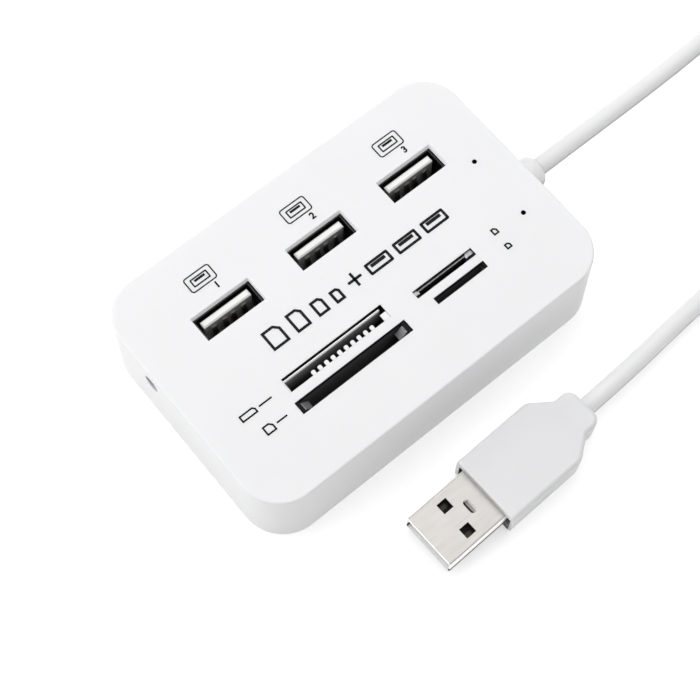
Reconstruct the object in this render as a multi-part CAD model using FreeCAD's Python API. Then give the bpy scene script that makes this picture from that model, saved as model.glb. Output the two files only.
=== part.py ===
import FreeCAD, Part
import math
import os

from FreeCAD import Rotation, Vector

# Case: a white moulded box, origin at the middle of its underside, X along it towards the cable
case_length = 83.8
case_width = 55.2
case_height = 19.0
case_corner_radius = 9.0
case_draft = 0.6
case_wall = 2.0
top_thickness = 1.8
top_edge_radius = 0.4
foot_edge_radius = 0.5

# Bottom cover, let into a rebate in the walls and held by clips
cover_thickness = 2.0
cover_rebate = 1.0
cover_clearance = 0.1
clip_length = 6.0
clip_thickness = 1.0
clip_hook = 0.5
clip_spacing = 44.0

# Circuit board, screwed up to bosses under the top
board_thickness = 1.6
board_gap = 2.6
board_edge_gap = 0.8
boss_inset_x = 7.4
boss_inset_y = 7.1
boss_diameter = 5.6
screw_diameter = 2.0
screw_bite = 6.0
screw_head_diameter = 4.0
screw_head_height = 1.3
screw_clearance = 0.05

# Upright USB sockets
port_count = 3
port_left_gap = 19.95
port_right_gap = 18.75
port_y = 10.55
port_window_length = 13.6
port_window_width = 5.7
port_mouth_length = 12.5
port_mouth_width = 5.12
port_sheet = 0.3
port_tab_width = 1.4
port_tab_length = 0.8
port_tab_clearance = 0.2
port_base_height = 3.0
tongue_width = 11.1
tongue_thickness = 1.5
tongue_back_gap = 0.75
tongue_rise = 0.2
tongue_chamfer = 0.3
insulator_clearance = 0.05
spring_width = 2.2
spring_length = 4.4
spring_depth = 0.4
spring_gap = 0.3
spring_spacing = 6.6
spring_top_gap = 2.2

# Contact strips, in every socket and in the plug
contact_thickness = 0.22
contact_bulge = 0.5
contact_top_gap = 1.6
contact_bow = 3.6
contact_bow_share = 0.6
usb_contact_width = 1.0
usb_inner_spacing = 2.0
usb_outer_spacing = 7.0

# Large card slot and its socket
large_slot_x = -11.0
large_slot_y = -13.35
large_slot_length = 26.2
large_slot_width = 2.75
large_card_length = 24.4
large_card_width = 2.4
large_front_wall = 1.3
large_back_wall = 0.9
large_contact_count = 9
large_contact_pitch = 2.5
large_contact_width = 1.2
large_spring_sheet = 0.2
large_spring_width = 1.6
large_spring_reach = 1.6
large_spring_recess = 0.6

# Stick card slot: a comb on the middle of its front, a steel plate along its back
stick_slot_x = -11.3
stick_slot_y = -8.375
stick_slot_length = 23.8
stick_slot_width = 3.15
stick_card_length = 22.2
stick_left_rim = 0.15
stick_key_length = 1.4
stick_key_width = 1.6
stick_tooth_count = 10
stick_tooth_pitch = 1.555
stick_tooth_width = 0.82
stick_tooth_length = 0.95
stick_tooth_radius = 0.25
stick_comb_offset = 0.75
stick_front_wall = 1.2
stick_back_wall = 0.8
stick_plate_thickness = 0.4
stick_plate_gap = 0.35
stick_plate_step = 0.4
stick_plate_overrun = 0.6
stick_mouth_recess = 0.1
stick_contact_width = 0.5

# Mini card slot: a folded steel shield lines its socket
mini_slot_x = 14.13
mini_slot_y = -9.56
mini_slot_length = 14.5
mini_slot_width = 1.75
mini_card_length = 11.9
mini_card_width = 1.18
mini_card_offset = -0.35
mini_front_wall = 0.7
mini_back_wall = 0.9
mini_shield_sheet = 0.2
mini_shield_recess = 0.6
mini_flange_width = 1.0
mini_contact_count = 8
mini_contact_pitch = 1.3
mini_contact_width = 0.6

# Micro card slot and its socket
micro_slot_x = 15.28
micro_slot_y = -12.98
micro_slot_length = 12.35
micro_slot_width = 1.55
micro_card_length = 11.4
micro_card_width = 1.2
micro_front_wall = 0.9
micro_back_wall = 0.8
micro_contact_count = 8
micro_contact_pitch = 1.1
micro_contact_width = 0.6

# What the card sockets share: their mouths stand up into the slots in the top
socket_end_wall = 1.3
socket_floor = 1.2
mouth_recess = 0.3
mouth_clearance = 0.05

# Chips and small parts on the board
chip_row_y = 1.2
hub_chip_x = -11.5
hub_chip_length = 10.2
hub_chip_width = 5.3
hub_chip_pin_count = 14
hub_chip_pitch = 0.65
reader_chip_x = 15.5
reader_chip_side = 7.0
reader_chip_pin_count = 8
reader_chip_pitch = 0.7
chip_height = 1.6
chip_stand_off = 0.15
pin_width = 0.3
pin_thickness = 0.2
pin_reach = 1.2
crystal_length = 9.0
crystal_width = 4.4
crystal_height = 3.6
crystal_edge = 0.3
crystal_hub_x = -21.0
crystal_reader_x = 25.0
capacitor_x = 2.6
capacitor_diameter = 6.3
capacitor_height = 5.6
chip_part_length = 2.0
chip_part_width = 1.2
chip_part_height = 0.8
chip_part_count = 7
chip_part_pitch = 8.0
chip_part_row_gap = 5.6

# Status lights under two small holes
led_inset = 7.7
led_back_y = 4.8
led_front_y = -9.5
led_hole_diameter = 1.0
led_diameter = 3.0
led_flange_diameter = 3.8
led_flange_height = 1.0
led_height = 5.2
led_clearance = 0.1
led_leg_width = 0.5
led_leg_spacing = 1.27

# Power jack in the left end
jack_y = 9.35
jack_drop = 4.6
jack_hole_diameter = 3.7
jack_bore_diameter = 3.6
jack_bore_depth = 7.6
jack_body_length = 9.4
jack_body_width = 7.6
jack_roof = 0.9
jack_clearance = 0.1
jack_pin_diameter = 1.1
jack_pin_length = 6.4
jack_spring_width = 1.6
jack_spring_thickness = 0.3

# Strain relief in the right end
exit_y = -0.9
grommet_diameter = 7.0
grommet_length = 5.4
grommet_dome = 1.8
grommet_neck_diameter = 6.0
grommet_flange_diameter = 8.0
grommet_flange_thickness = 1.4
grommet_clearance = 0.1
grommet_play = 0.25
wire_count = 4
wire_diameter = 1.0
wire_spacing = 1.25
wire_bend = 2.4

# Cable and its coil
cord_diameter = 3.8
cord_lead = 11.0
cord_arc_share = 0.45
cord_lead_share = 0.3
run_out_near = Vector(75.0, -0.8, 8.9)
run_out_far = Vector(92.0, -0.2, 7.9)
run_back_near = Vector(45.0, -42.2, 2.4)
run_back_middle = Vector(59.0, -41.2, 1.95)
run_back_far = Vector(75.0, -41.4, 1.95)
run_back_end = Vector(92.0, -42.7, 2.2)
coil_x = 115.0
coil_y = -21.3
coil_radius = 19.5
coil_layer_turns = 1.75
coil_layer_count = 2
tie_width = 3.0
tie_thickness = 0.6
tie_clearance = 0.15

# Plug, lying beside the case
plug_tip_x = -19.4
plug_tip_y = -45.2
plug_yaw = 1.94
plug_shell_length = 18.7
plug_shell_width = 12.0
plug_shell_height = 4.5
plug_shell_sheet = 0.3
plug_shell_corner = 0.5
plug_tip_chamfer = 0.15
plug_shell_exposed = 14.2
plug_window = 2.3
plug_window_spacing = 6.2
plug_window_setback = 7.0
plug_dent_length = 3.0
plug_dent_width = 1.3
plug_dent_depth = 0.4
plug_dent_setback = 10.4
plug_core_thickness = 1.9
plug_core_setback = 1.6
plug_contact_setback = 1.8
plug_contact_length = 7.0
plug_clearance = 0.05
overmold_width = 15.4
overmold_thickness = 7.8
overmold_body_length = 17.8
overmold_shoulder_length = 4.6
overmold_collar_length = 4.1
overmold_collar_width = 8.8
overmold_collar_thickness = 7.2
overmold_edge_radius = 0.9
overmold_shoulder_radius = 3.0
overmold_collar_radius = 1.8
overmold_rear_radius = 2.2
overmold_recess_gap = 0.9
overmold_recess_depth = 2.5

# Levels in the case, and places that follow its size
board_bottom = cover_thickness + board_gap
board_top = board_bottom + board_thickness
ceiling = case_height - top_thickness
exit_height = case_height / 2
jack_height = case_height - jack_drop
led_x = case_length / 2 - led_inset
boss_x = case_length / 2 - boss_inset_x
boss_y = case_width / 2 - boss_inset_y
first_port_x = port_left_gap - case_length / 2
port_pitch = (case_length - port_left_gap - port_right_gap) / (port_count - 1)

# The cable's exit, and the turns of its coil as wound on their tie
cord_radius = cord_diameter / 2
coil_half_width = coil_layer_turns * cord_diameter / 2
coil_outer_turn = coil_radius + coil_half_width
coil_floor = tie_thickness
coil_low_turn = coil_floor + cord_radius
coil_high_turn = coil_low_turn + cord_diameter


def wall_inset(height):
    """How far the drafted walls have come in at a height above the foot."""
    return case_draft * height / case_height


grommet_wall = case_length / 2 - wall_inset(exit_height)
cord_exit = Vector(grommet_wall + grommet_length, exit_y, exit_height)

# The cable's route, from the strain relief to the coil and from the plug to the coil
plug_length = (plug_shell_exposed + overmold_body_length + overmold_shoulder_length
               + overmold_collar_length)
plug_axis = Vector(math.cos(math.radians(plug_yaw)), math.sin(math.radians(plug_yaw)), 0)
plug_tip = Vector(plug_tip_x, plug_tip_y, overmold_thickness / 2)
plug_end = plug_tip + plug_axis * plug_length
coil_entry = Vector(coil_x, coil_y + coil_outer_turn, coil_high_turn)
coil_leave = Vector(coil_x, coil_y - coil_outer_turn, coil_low_turn)
route_out = [
    cord_exit,
    cord_exit + Vector(cord_lead, 0, 0),
    run_out_near,
    run_out_far,
    coil_entry,
]
route_back = [
    plug_end,
    plug_end + plug_axis * cord_lead,
    run_back_near,
    run_back_middle,
    run_back_far,
    run_back_end,
    coil_leave,
]


def export(shape, node):
    """Write one sub-part."""
    shape.exportStep("parts/" + node + ".step")


def block(centre_x, centre_y, bottom, length, width, height):
    """A box set by the middle of its underside."""
    return Part.makeBox(length, width, height, Vector(centre_x - length / 2, centre_y - width / 2, bottom))


def rounded_outline(length, width, radius, height):
    """A rectangle with round corners, level at a height."""
    x = length / 2
    y = width / 2
    corners = [(Vector(side_x * x, side_y * y, height), radius)
               for side_x, side_y in ((1, 1), (-1, 1), (-1, -1), (1, -1))]
    return rounded_polygon(corners)


def rounded_polygon(corners):
    """A closed outline from (corner, radius) pairs, a radius of 0 leaving its corner sharp."""
    bends = []
    for index, (corner, radius) in enumerate(corners):
        back = (corners[index - 1][0] - corner).normalize()
        ahead = (corners[(index + 1) % len(corners)][0] - corner).normalize()
        half_angle = back.getAngle(ahead) / 2
        trim = radius / math.tan(half_angle)
        middle = corner + (back + ahead).normalize() * (radius / math.sin(half_angle) - radius)
        bends.append((corner + back * trim, middle, corner + ahead * trim, radius))
    edges = []
    for index, (start, middle, end, radius) in enumerate(bends):
        if radius:
            edges.append(Part.Arc(start, middle, end).toShape())
        edges.append(Part.LineSegment(end, bends[(index + 1) % len(bends)][0]).toShape())
    return Part.Wire(edges)


def tapered_block(length, width, radius, bottom, top):
    """A rounded block whose walls follow the case's draft."""
    outlines = []
    for height in (bottom, top):
        inset = wall_inset(height)
        outlines.append(rounded_outline(length - 2 * inset, width - 2 * inset, radius - inset, height))
    return Part.makeLoft(outlines, True, True)


def rounded_plate(length, width, radius, bottom, height):
    """A flat plate with round corners."""
    return Part.Face(rounded_outline(length, width, radius, bottom)).extrude(Vector(0, 0, height))


def level_edges(shape, height):
    """The edges that lie level at a height."""
    return [edge for edge in shape.Edges
            if abs(edge.BoundBox.ZMin - height) < 1e-4 and abs(edge.BoundBox.ZMax - height) < 1e-4]


def side_profile(points, centre_x, length):
    """A solid with an outline in Y and Z, drawn out along X about a middle."""
    corners = [Vector(centre_x - length / 2, y, z) for y, z in points]
    face = Part.Face(Part.makePolygon(corners + corners[:1]))
    return face.extrude(Vector(length, 0, 0))


def plan_profile(points, bottom, height):
    """A solid with an outline in X and Y, drawn up from a level."""
    corners = [Vector(x, y, bottom) for x, y in points]
    face = Part.Face(Part.makePolygon(corners + corners[:1]))
    return face.extrude(Vector(0, 0, height))


def turned(points, start, axis):
    """A solid of revolution from (distance along the axis, radius) pairs, closed on the axis."""
    corners = [Vector(0, points[0][0], 0)] + [Vector(radius, along, 0) for along, radius in points]
    corners.append(Vector(0, points[-1][0], 0))
    face = Part.Face(Part.makePolygon(corners + corners[:1]))
    solid = face.revolve(Vector(0, 0, 0), Vector(0, 1, 0), 360)
    solid.Placement = FreeCAD.Placement(start, Rotation(Vector(0, 1, 0), axis))
    return solid


def port_places():
    """The middles of the upright sockets along X."""
    return [first_port_x + index * port_pitch for index in range(port_count)]


def boss_places():
    """The four screw bosses, as (x, y)."""
    return [(side_x * boss_x, side_y * boss_y) for side_x in (-1, 1) for side_y in (-1, 1)]


def row_places(middle, count, pitch):
    """Places along X of an evenly spaced row."""
    return [middle + (index - (count - 1) / 2) * pitch for index in range(count)]


def slot_windows():
    """The four card slots in the top, as (x, y, length, width)."""
    return [(large_slot_x, large_slot_y, large_slot_length, large_slot_width),
            (stick_slot_x, stick_slot_y, stick_slot_length, stick_slot_width),
            (mini_slot_x, mini_slot_y, mini_slot_length, mini_slot_width),
            (micro_slot_x, micro_slot_y, micro_slot_length, micro_slot_width)]


def clip_places():
    """The clips as (length of case across them, place along the wall, angle about Z)."""
    half_spacing = clip_spacing / 2
    return [(case_width, half_spacing, 0), (case_width, -half_spacing, 0),
            (case_width, half_spacing, 180), (case_width, -half_spacing, 180),
            (case_length, 0, 90), (case_length, 0, 270)]


clip_top = board_bottom - clip_hook / 2
clip_hook_base = cover_thickness + clip_hook


def clip_face(across):
    """Distance of a clip's outer face from the middle of the case."""
    return across / 2 - case_wall - wall_inset(clip_top) - cover_clearance


def make_top_shell():
    """Walls and top in one moulding, with a rebate for the cover and bosses for the board."""
    outer = tapered_block(case_length, case_width, case_corner_radius, 0, case_height)
    outer = outer.makeFillet(top_edge_radius, level_edges(outer, case_height))
    outer = outer.makeFillet(foot_edge_radius, level_edges(outer, 0))
    shell = outer.cut(tapered_block(case_length - 2 * case_wall, case_width - 2 * case_wall,
                                    case_corner_radius - case_wall, 0, ceiling))
    shell = shell.cut(rounded_plate(case_length - 2 * cover_rebate, case_width - 2 * cover_rebate,
                                    case_corner_radius - cover_rebate, 0, cover_thickness))
    for x, y in boss_places():
        boss = Part.makeCylinder(boss_diameter / 2, case_height - board_top - top_thickness / 2,
                                 Vector(x, y, board_top))
        shell = shell.fuse(boss)
    cuts = [Part.makeCylinder(screw_diameter / 2 + screw_clearance, screw_bite + screw_diameter / 2,
                              Vector(x, y, board_top)) for x, y in boss_places()]
    cuts += [block(x, port_y, ceiling, port_window_length, port_window_width, top_thickness)
             for x in port_places()]
    cuts += [block(x, y, ceiling, length, width, top_thickness) for x, y, length, width in slot_windows()]
    cuts += [Part.makeCylinder(led_hole_diameter / 2, top_thickness, Vector(led_x, y, ceiling))
             for y in (led_back_y, led_front_y)]
    cuts.append(Part.makeCylinder(jack_hole_diameter / 2, 2 * case_wall,
                                  Vector(-case_length / 2, jack_y, jack_height), Vector(1, 0, 0)))
    cuts.append(Part.makeCylinder(grommet_neck_diameter / 2 + grommet_clearance, 2 * case_wall,
                                  Vector(case_length / 2, exit_y, exit_height), Vector(-1, 0, 0)))
    for across, along, angle in clip_places():
        pocket_depth = clip_hook + 2 * cover_clearance
        pocket_middle = clip_face(across) + pocket_depth / 2 + cover_clearance / 2
        pocket = block(along, pocket_middle, clip_hook_base - cover_clearance,
                       clip_length + 2 * cover_clearance, pocket_depth,
                       clip_top - clip_hook_base + 2 * cover_clearance)
        pocket.rotate(Vector(0, 0, 0), Vector(0, 0, 1), angle)
        cuts.append(pocket)
    return shell.cut(cuts).removeSplitter()


def make_bottom_cover():
    """Flat plate with six upright clips that snap into pockets in the walls."""
    cover = rounded_plate(case_length - 2 * cover_rebate - 2 * cover_clearance,
                          case_width - 2 * cover_rebate - 2 * cover_clearance,
                          case_corner_radius - cover_rebate - cover_clearance, 0, cover_thickness)
    clips = []
    for across, along, angle in clip_places():
        face = clip_face(across)
        outline = [(face - clip_thickness, cover_thickness / 2), (face, cover_thickness / 2),
                   (face, clip_hook_base), (face + clip_hook, clip_hook_base),
                   (face, clip_top), (face - clip_thickness, clip_top)]
        clip = side_profile(outline, along, clip_length)
        clip.rotate(Vector(0, 0, 0), Vector(0, 0, 1), angle)
        clips.append(clip)
    return cover.fuse(clips).removeSplitter()


def make_circuit_board():
    """The board, with screw holes, slots for the socket tabs and a notch at the strain relief."""
    inset = wall_inset(board_top) + case_wall + board_edge_gap
    length = case_length - 2 * inset
    board = rounded_plate(length, case_width - 2 * inset, case_corner_radius - inset, board_bottom,
                          board_thickness)
    cuts = [Part.makeCylinder(screw_diameter / 2 + screw_clearance, board_thickness,
                              Vector(x, y, board_bottom)) for x, y in boss_places()]
    for x in port_places():
        for side in (-1, 1):
            cuts.append(block(x + side * port_tab_place(), port_y, board_bottom,
                              port_sheet + 2 * port_tab_clearance,
                              port_tab_width + 2 * port_tab_clearance, board_thickness))
    notch_depth = 2 * grommet_flange_thickness
    cuts.append(block(length / 2, exit_y, board_bottom, 2 * notch_depth,
                      grommet_flange_diameter + 2 * board_edge_gap, board_thickness))
    return board.cut(cuts)


def make_board_screws():
    """Four screws that go up through the board into the bosses."""
    screws = []
    for x, y in boss_places():
        head = Part.makeCylinder(screw_head_diameter / 2, screw_head_height,
                                 Vector(x, y, board_bottom - screw_head_height))
        head = head.makeChamfer(screw_head_height / 3, level_edges(head, board_bottom - screw_head_height))
        shank = Part.makeCylinder(screw_diameter / 2, board_thickness + screw_bite,
                                  Vector(x, y, board_bottom))
        screws.append(head.fuse(shank).removeSplitter())
    return Part.makeCompound(screws)


def port_tab_place():
    """Distance of a socket's solder tabs from its middle, in its end walls."""
    return port_mouth_length / 2 + port_sheet / 2


def make_port_shell(x):
    """Folded steel tube with two leaf springs in each broad wall and a solder tab in each end wall."""
    height = ceiling - board_top
    shell = block(x, port_y, board_top, port_mouth_length + 2 * port_sheet,
                  port_mouth_width + 2 * port_sheet, height)
    shell = shell.cut(block(x, port_y, board_top, port_mouth_length, port_mouth_width, height))
    for side in (-1, 1):
        shell = shell.fuse(block(x + side * port_tab_place(), port_y, board_bottom - port_tab_length,
                                 port_sheet, port_tab_width, board_thickness + port_tab_length + port_sheet))
    inner = port_mouth_width / 2
    outer = inner + port_sheet
    top = ceiling - spring_top_gap
    foot = top - spring_length
    tip = top - spring_gap
    bend = top - spring_length / 4
    outline = [(inner, foot - spring_gap), (inner, foot), (inner - spring_depth, bend), (inner, tip),
               (outer, tip), (outer - spring_depth, bend), (outer, foot), (outer, foot - spring_gap)]
    for side in (-1, 1):
        for spring_x in (x - spring_spacing / 2, x + spring_spacing / 2):
            hole = block(spring_x, port_y + side * (inner + port_sheet / 2), foot,
                         spring_width + 2 * spring_gap, port_sheet, spring_length)
            spring = side_profile([(port_y + side * y, z) for y, z in outline], spring_x, spring_width)
            shell = shell.cut(hole).fuse(spring)
    return shell.removeSplitter()


def contact_strip(x, face, side, width, top):
    """A bent strip standing on the board against a face, bowed out towards one side of it."""
    bow_top = top - contact_bow / 4
    bow_foot = bow_top - contact_bow
    bow_middle = bow_foot + contact_bow_share * contact_bow
    near = face + side * contact_thickness
    outline = [(face, board_top), (near, board_top), (near, bow_foot),
               (near + side * contact_bulge, bow_middle), (near, bow_top), (near, top), (face, top),
               (face, bow_top), (face + side * contact_bulge, bow_middle), (face, bow_foot)]
    return side_profile(outline, x, width)


def tongue_middle():
    """The tongue's middle across the socket."""
    return port_y + port_mouth_width / 2 - tongue_back_gap - tongue_thickness / 2


def make_port_contacts(x):
    """Four strips on the front of the tongue."""
    face = tongue_middle() - tongue_thickness / 2
    places = [x + side * spacing / 2
              for spacing in (usb_inner_spacing, usb_outer_spacing) for side in (-1, 1)]
    top = ceiling - contact_top_gap
    return Part.makeCompound([contact_strip(place, face, -1, usb_contact_width, top) for place in places])


def make_port_insulator(x, contacts):
    """Moulded base with the tongue standing on it, its tip chamfered."""
    base = block(x, port_y, board_top, port_mouth_length - 2 * insulator_clearance,
                 port_mouth_width - 2 * insulator_clearance, port_base_height)
    tip = ceiling + tongue_rise
    tongue = block(x, tongue_middle(), board_top, tongue_width, tongue_thickness, tip - board_top)
    tongue = tongue.makeChamfer(tongue_chamfer, level_edges(tongue, tip))
    return base.fuse(tongue).removeSplitter().cut(contacts)


def make_socket_body(slot, card_x, card_y, card_length, card_width, front_wall, back_wall):
    """A block under the top with a card's space in it, its mouth standing up into the slot."""
    x, slot_y, slot_length, slot_width = slot
    height = ceiling - board_top
    length = card_length + 2 * socket_end_wall
    body = block(card_x, card_y + (back_wall - front_wall) / 2, board_top, length,
                 card_width + front_wall + back_wall, height)
    mouth = block(x, slot_y, ceiling, slot_length - 2 * mouth_clearance, slot_width - 2 * mouth_clearance,
                  top_thickness - mouth_recess)
    space = block(card_x, card_y, board_top + socket_floor, card_length, card_width, case_height)
    return body.fuse(mouth).cut(space).removeSplitter()


def make_card_contacts(x, face, count, pitch, width):
    """A row of strips on the front wall of a card's space."""
    top = ceiling - contact_top_gap
    return Part.makeCompound([contact_strip(place, face, 1, width, top)
                              for place in row_places(x, count, pitch)])


def make_large_springs():
    """A sprung leaf against each end of the large card's space, bowed in under the mouth."""
    wall = large_card_length / 2
    foot = board_top + socket_floor
    top = case_height - large_spring_recess
    bend = top - large_spring_reach
    low = bend - 2 * large_spring_reach
    line = [(wall, foot), (wall, low), (wall - large_spring_reach, bend), (wall, top)]
    inner = [(y - large_spring_sheet, z) for y, z in reversed(line)]
    leaves = []
    for angle in (90, -90):
        leaf = side_profile(line + inner, 0, large_spring_width)
        leaf.rotate(Vector(0, 0, 0), Vector(0, 0, 1), angle)
        leaf.translate(Vector(large_slot_x, large_slot_y, 0))
        leaves.append(leaf)
    return Part.makeCompound(leaves)


def tooth_places():
    """The comb's teeth along X."""
    return row_places(stick_slot_x + stick_comb_offset, stick_tooth_count, stick_tooth_pitch)


def stick_space():
    """The stick card's space, keyed at its back corner, round the teeth of the comb on its front."""
    back = stick_slot_y + stick_slot_width / 2 - mouth_clearance
    front = stick_slot_y - stick_slot_width / 2
    tip = front + stick_tooth_length
    left = stick_slot_x - stick_slot_length / 2 + stick_left_rim
    right = left + stick_card_length
    outline = [(left, front), (right, front), (right, back - stick_key_width),
               (right + stick_key_length, back - stick_key_width), (right + stick_key_length, back),
               (left, back)]
    floor = board_top + socket_floor
    teeth = []
    for x in tooth_places():
        near = x - stick_tooth_width / 2
        far = x + stick_tooth_width / 2
        corners = [(Vector(near, front, floor), 0), (Vector(far, front, floor), 0),
                   (Vector(far, tip, floor), stick_tooth_radius),
                   (Vector(near, tip, floor), stick_tooth_radius)]
        teeth.append(Part.Face(rounded_polygon(corners)).extrude(Vector(0, 0, case_height)))
    return plan_profile(outline, floor, case_height).cut(teeth)


def make_stick_socket(contacts):
    """White body with the comb, flush with the top, standing up into the slot."""
    length = stick_slot_length + 2 * socket_end_wall
    width = stick_slot_width + stick_front_wall + stick_back_wall
    body = block(stick_slot_x, stick_slot_y + (stick_back_wall - stick_front_wall) / 2, board_top, length,
                 width, ceiling - board_top)
    mouth = block(stick_slot_x, stick_slot_y, ceiling, stick_slot_length - 2 * mouth_clearance,
                  stick_slot_width - 2 * mouth_clearance, top_thickness - stick_mouth_recess)
    return body.fuse(mouth).cut(stick_space()).cut(contacts).removeSplitter()


def make_stick_plate():
    """Steel plate that stands on the floor of the stick card's space, just clear of its back wall."""
    back = stick_slot_y + stick_slot_width / 2 - mouth_clearance - stick_plate_gap
    front = back - stick_plate_thickness
    foot = board_top + socket_floor
    top = case_height - stick_plate_step
    outline = [(front, foot), (back, foot), (back, top), (front, top)]
    left = stick_slot_x - stick_slot_length / 2 + stick_left_rim + mouth_clearance
    length = stick_card_length + stick_plate_overrun
    plate = side_profile(outline, left + length / 2, length)
    lip = [edge for edge in level_edges(plate, top) if edge.BoundBox.YMax < back - stick_plate_thickness / 2]
    return plate.makeChamfer(stick_plate_thickness / 2, lip)


def mini_space_width():
    """The mini card's space, with room for the shield behind the card."""
    return mini_card_width + mini_shield_sheet


def mini_space_y():
    """The middle of the mini card's space, which begins at the front of its slot."""
    return mini_slot_y - mini_slot_width / 2 + mouth_clearance + mini_space_width() / 2


def mini_card_x():
    """The middle of the mini card's space along the slot."""
    return mini_slot_x + mini_card_offset


def mini_flanges(height):
    """The shield's two ends, folded out over the ends of the mouth, drawn up to a height."""
    back = mini_slot_y + mini_slot_width / 2 - mouth_clearance
    level = case_height - mini_shield_recess - mini_shield_sheet
    flange = block(mini_slot_x, back - mini_flange_width / 2, level, mini_slot_length - 2 * mouth_clearance,
                   mini_flange_width, height)
    return flange.cut(block(mini_card_x(), mini_slot_y, level, mini_card_length, 2 * mini_slot_width, height))


def make_mini_shield():
    """Folded steel: a back plate, a return at each end, and the ends folded out over the mouth."""
    foot = board_top + socket_floor
    height = case_height - mini_shield_recess - foot
    back = mini_space_y() + mini_space_width() / 2
    depth = mini_space_width() / 2
    shield = block(mini_card_x(), back - depth / 2, foot, mini_card_length, depth, height)
    shield = shield.cut(block(mini_card_x(), back - mini_shield_sheet - depth / 2, foot,
                              mini_card_length - 2 * mini_shield_sheet, depth, height))
    return shield.fuse(mini_flanges(mini_shield_sheet)).removeSplitter()


def chip_pin(x, y, reach_x, reach_y):
    """One bent pin, from the chip's side down to the board."""
    shoulder = board_top + chip_height / 2
    out = pin_reach / 2
    stub = block(x + reach_x * out / 2, y + reach_y * out / 2, shoulder,
                 max(pin_width, abs(reach_x) * out), max(pin_width, abs(reach_y) * out), pin_thickness)
    drop = block(x + reach_x * (out - pin_thickness / 2), y + reach_y * (out - pin_thickness / 2), board_top,
                 pin_thickness if reach_x else pin_width, pin_thickness if reach_y else pin_width,
                 shoulder - board_top + pin_thickness)
    foot = block(x + reach_x * (out + pin_reach) / 2, y + reach_y * (out + pin_reach) / 2, board_top,
                 max(pin_width, abs(reach_x) * out), max(pin_width, abs(reach_y) * out), pin_thickness)
    return stub.fuse([drop, foot])


def make_chip(x, length, width, pins, pitch, four_sided):
    """A moulded chip with bent pins along two or four sides."""
    body = block(x, chip_row_y, board_top + chip_stand_off, length, width, chip_height - chip_stand_off)
    legs = []
    for place in row_places(0, pins, pitch):
        for side in (-1, 1):
            legs.append(chip_pin(x + place, chip_row_y + side * width / 2, 0, side))
            if four_sided:
                legs.append(chip_pin(x + side * length / 2, chip_row_y + place, side, 0))
    return body.fuse(legs).removeSplitter()


def make_crystals():
    """Two oval metal cans on the board."""
    cans = []
    for x in (crystal_hub_x, crystal_reader_x):
        can = rounded_plate(crystal_width, crystal_length, crystal_width / 2 - crystal_edge, board_top,
                            crystal_height)
        can.translate(Vector(x, chip_row_y, 0))
        cans.append(can.makeChamfer(crystal_edge, level_edges(can, board_top + crystal_height)))
    return Part.makeCompound(cans)


def make_bulk_capacitor():
    """A round can on a square foot with two corners cut."""
    radius = capacitor_diameter / 2
    foot_height = chip_part_height
    cut_corner = radius / 3
    points = [(-radius, -radius), (radius - cut_corner, -radius), (radius, cut_corner - radius),
              (radius, radius - cut_corner), (radius - cut_corner, radius), (-radius, radius)]
    foot = plan_profile([(capacitor_x + x, chip_row_y + y) for x, y in points], board_top, foot_height)
    can = Part.makeCylinder(radius, capacitor_height - foot_height,
                            Vector(capacitor_x, chip_row_y, board_top + foot_height))
    return foot.fuse(can).removeSplitter()


def make_chip_parts():
    """Two rows of small capacitors and resistors."""
    parts = []
    for side in (-1, 1):
        for x in row_places(0, chip_part_count, chip_part_pitch):
            parts.append(block(x, chip_row_y + side * chip_part_row_gap, board_top,
                               chip_part_length, chip_part_width, chip_part_height))
    return Part.makeCompound(parts)


def make_status_leds():
    """Two round lights with a flange, their domes just under the holes."""
    dome = led_diameter / 2
    lights = []
    for y in (led_back_y, led_front_y):
        foot = ceiling - led_clearance - led_height
        flange = Part.makeCylinder(led_flange_diameter / 2, led_flange_height, Vector(led_x, y, foot))
        barrel = Part.makeCylinder(dome, led_height - dome, Vector(led_x, y, foot))
        cap = Part.makeSphere(dome, Vector(led_x, y, foot + led_height - dome))
        lights.append(flange.fuse([barrel, cap]).removeSplitter())
    return Part.makeCompound(lights)


def make_led_legs():
    """The lights' square legs, down to the board."""
    foot = ceiling - led_clearance - led_height
    return Part.makeCompound([block(led_x, y + side * led_leg_spacing, board_top, led_leg_width,
                                    led_leg_width, foot - board_top)
                              for y in (led_back_y, led_front_y) for side in (-1, 1)])


def jack_front():
    """The jack's mouth, behind the left wall."""
    return -case_length / 2 + case_wall + wall_inset(jack_height + jack_body_width / 2) + jack_clearance


def make_jack_housing(spring):
    """Moulded housing on the board with a round bore facing the wall's hole."""
    roof = jack_height + jack_bore_diameter / 2 + jack_roof
    housing = block(jack_front() + jack_body_length / 2, jack_y, board_top, jack_body_length, jack_body_width,
                    roof - board_top)
    bore = Part.makeCylinder(jack_bore_diameter / 2, jack_bore_depth,
                             Vector(jack_front(), jack_y, jack_height), Vector(1, 0, 0))
    return housing.cut(bore).cut(spring)


def make_jack_pin():
    """Centre pin with a round tip, standing on the bore's end."""
    radius = jack_pin_diameter / 2
    end = Vector(jack_front() + jack_bore_depth, jack_y, jack_height)
    pin = Part.makeCylinder(radius, jack_pin_length - radius, end, Vector(-1, 0, 0))
    return pin.fuse(Part.makeSphere(radius, end - Vector(jack_pin_length - radius, 0, 0))).removeSplitter()


def make_jack_spring():
    """Flat spring contact let into the floor of the bore, reaching down to the board."""
    length = jack_bore_depth / 2
    start = jack_front() + jack_bore_depth - length
    floor = jack_height - jack_bore_diameter / 2
    blade = block(start + length / 2, jack_y, floor, length, jack_spring_width, jack_spring_thickness)
    leg = block(start + length - jack_spring_thickness / 2, jack_y, board_top, jack_spring_thickness,
                jack_spring_width, floor + jack_spring_thickness - board_top)
    return blade.fuse(leg).removeSplitter()


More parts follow.
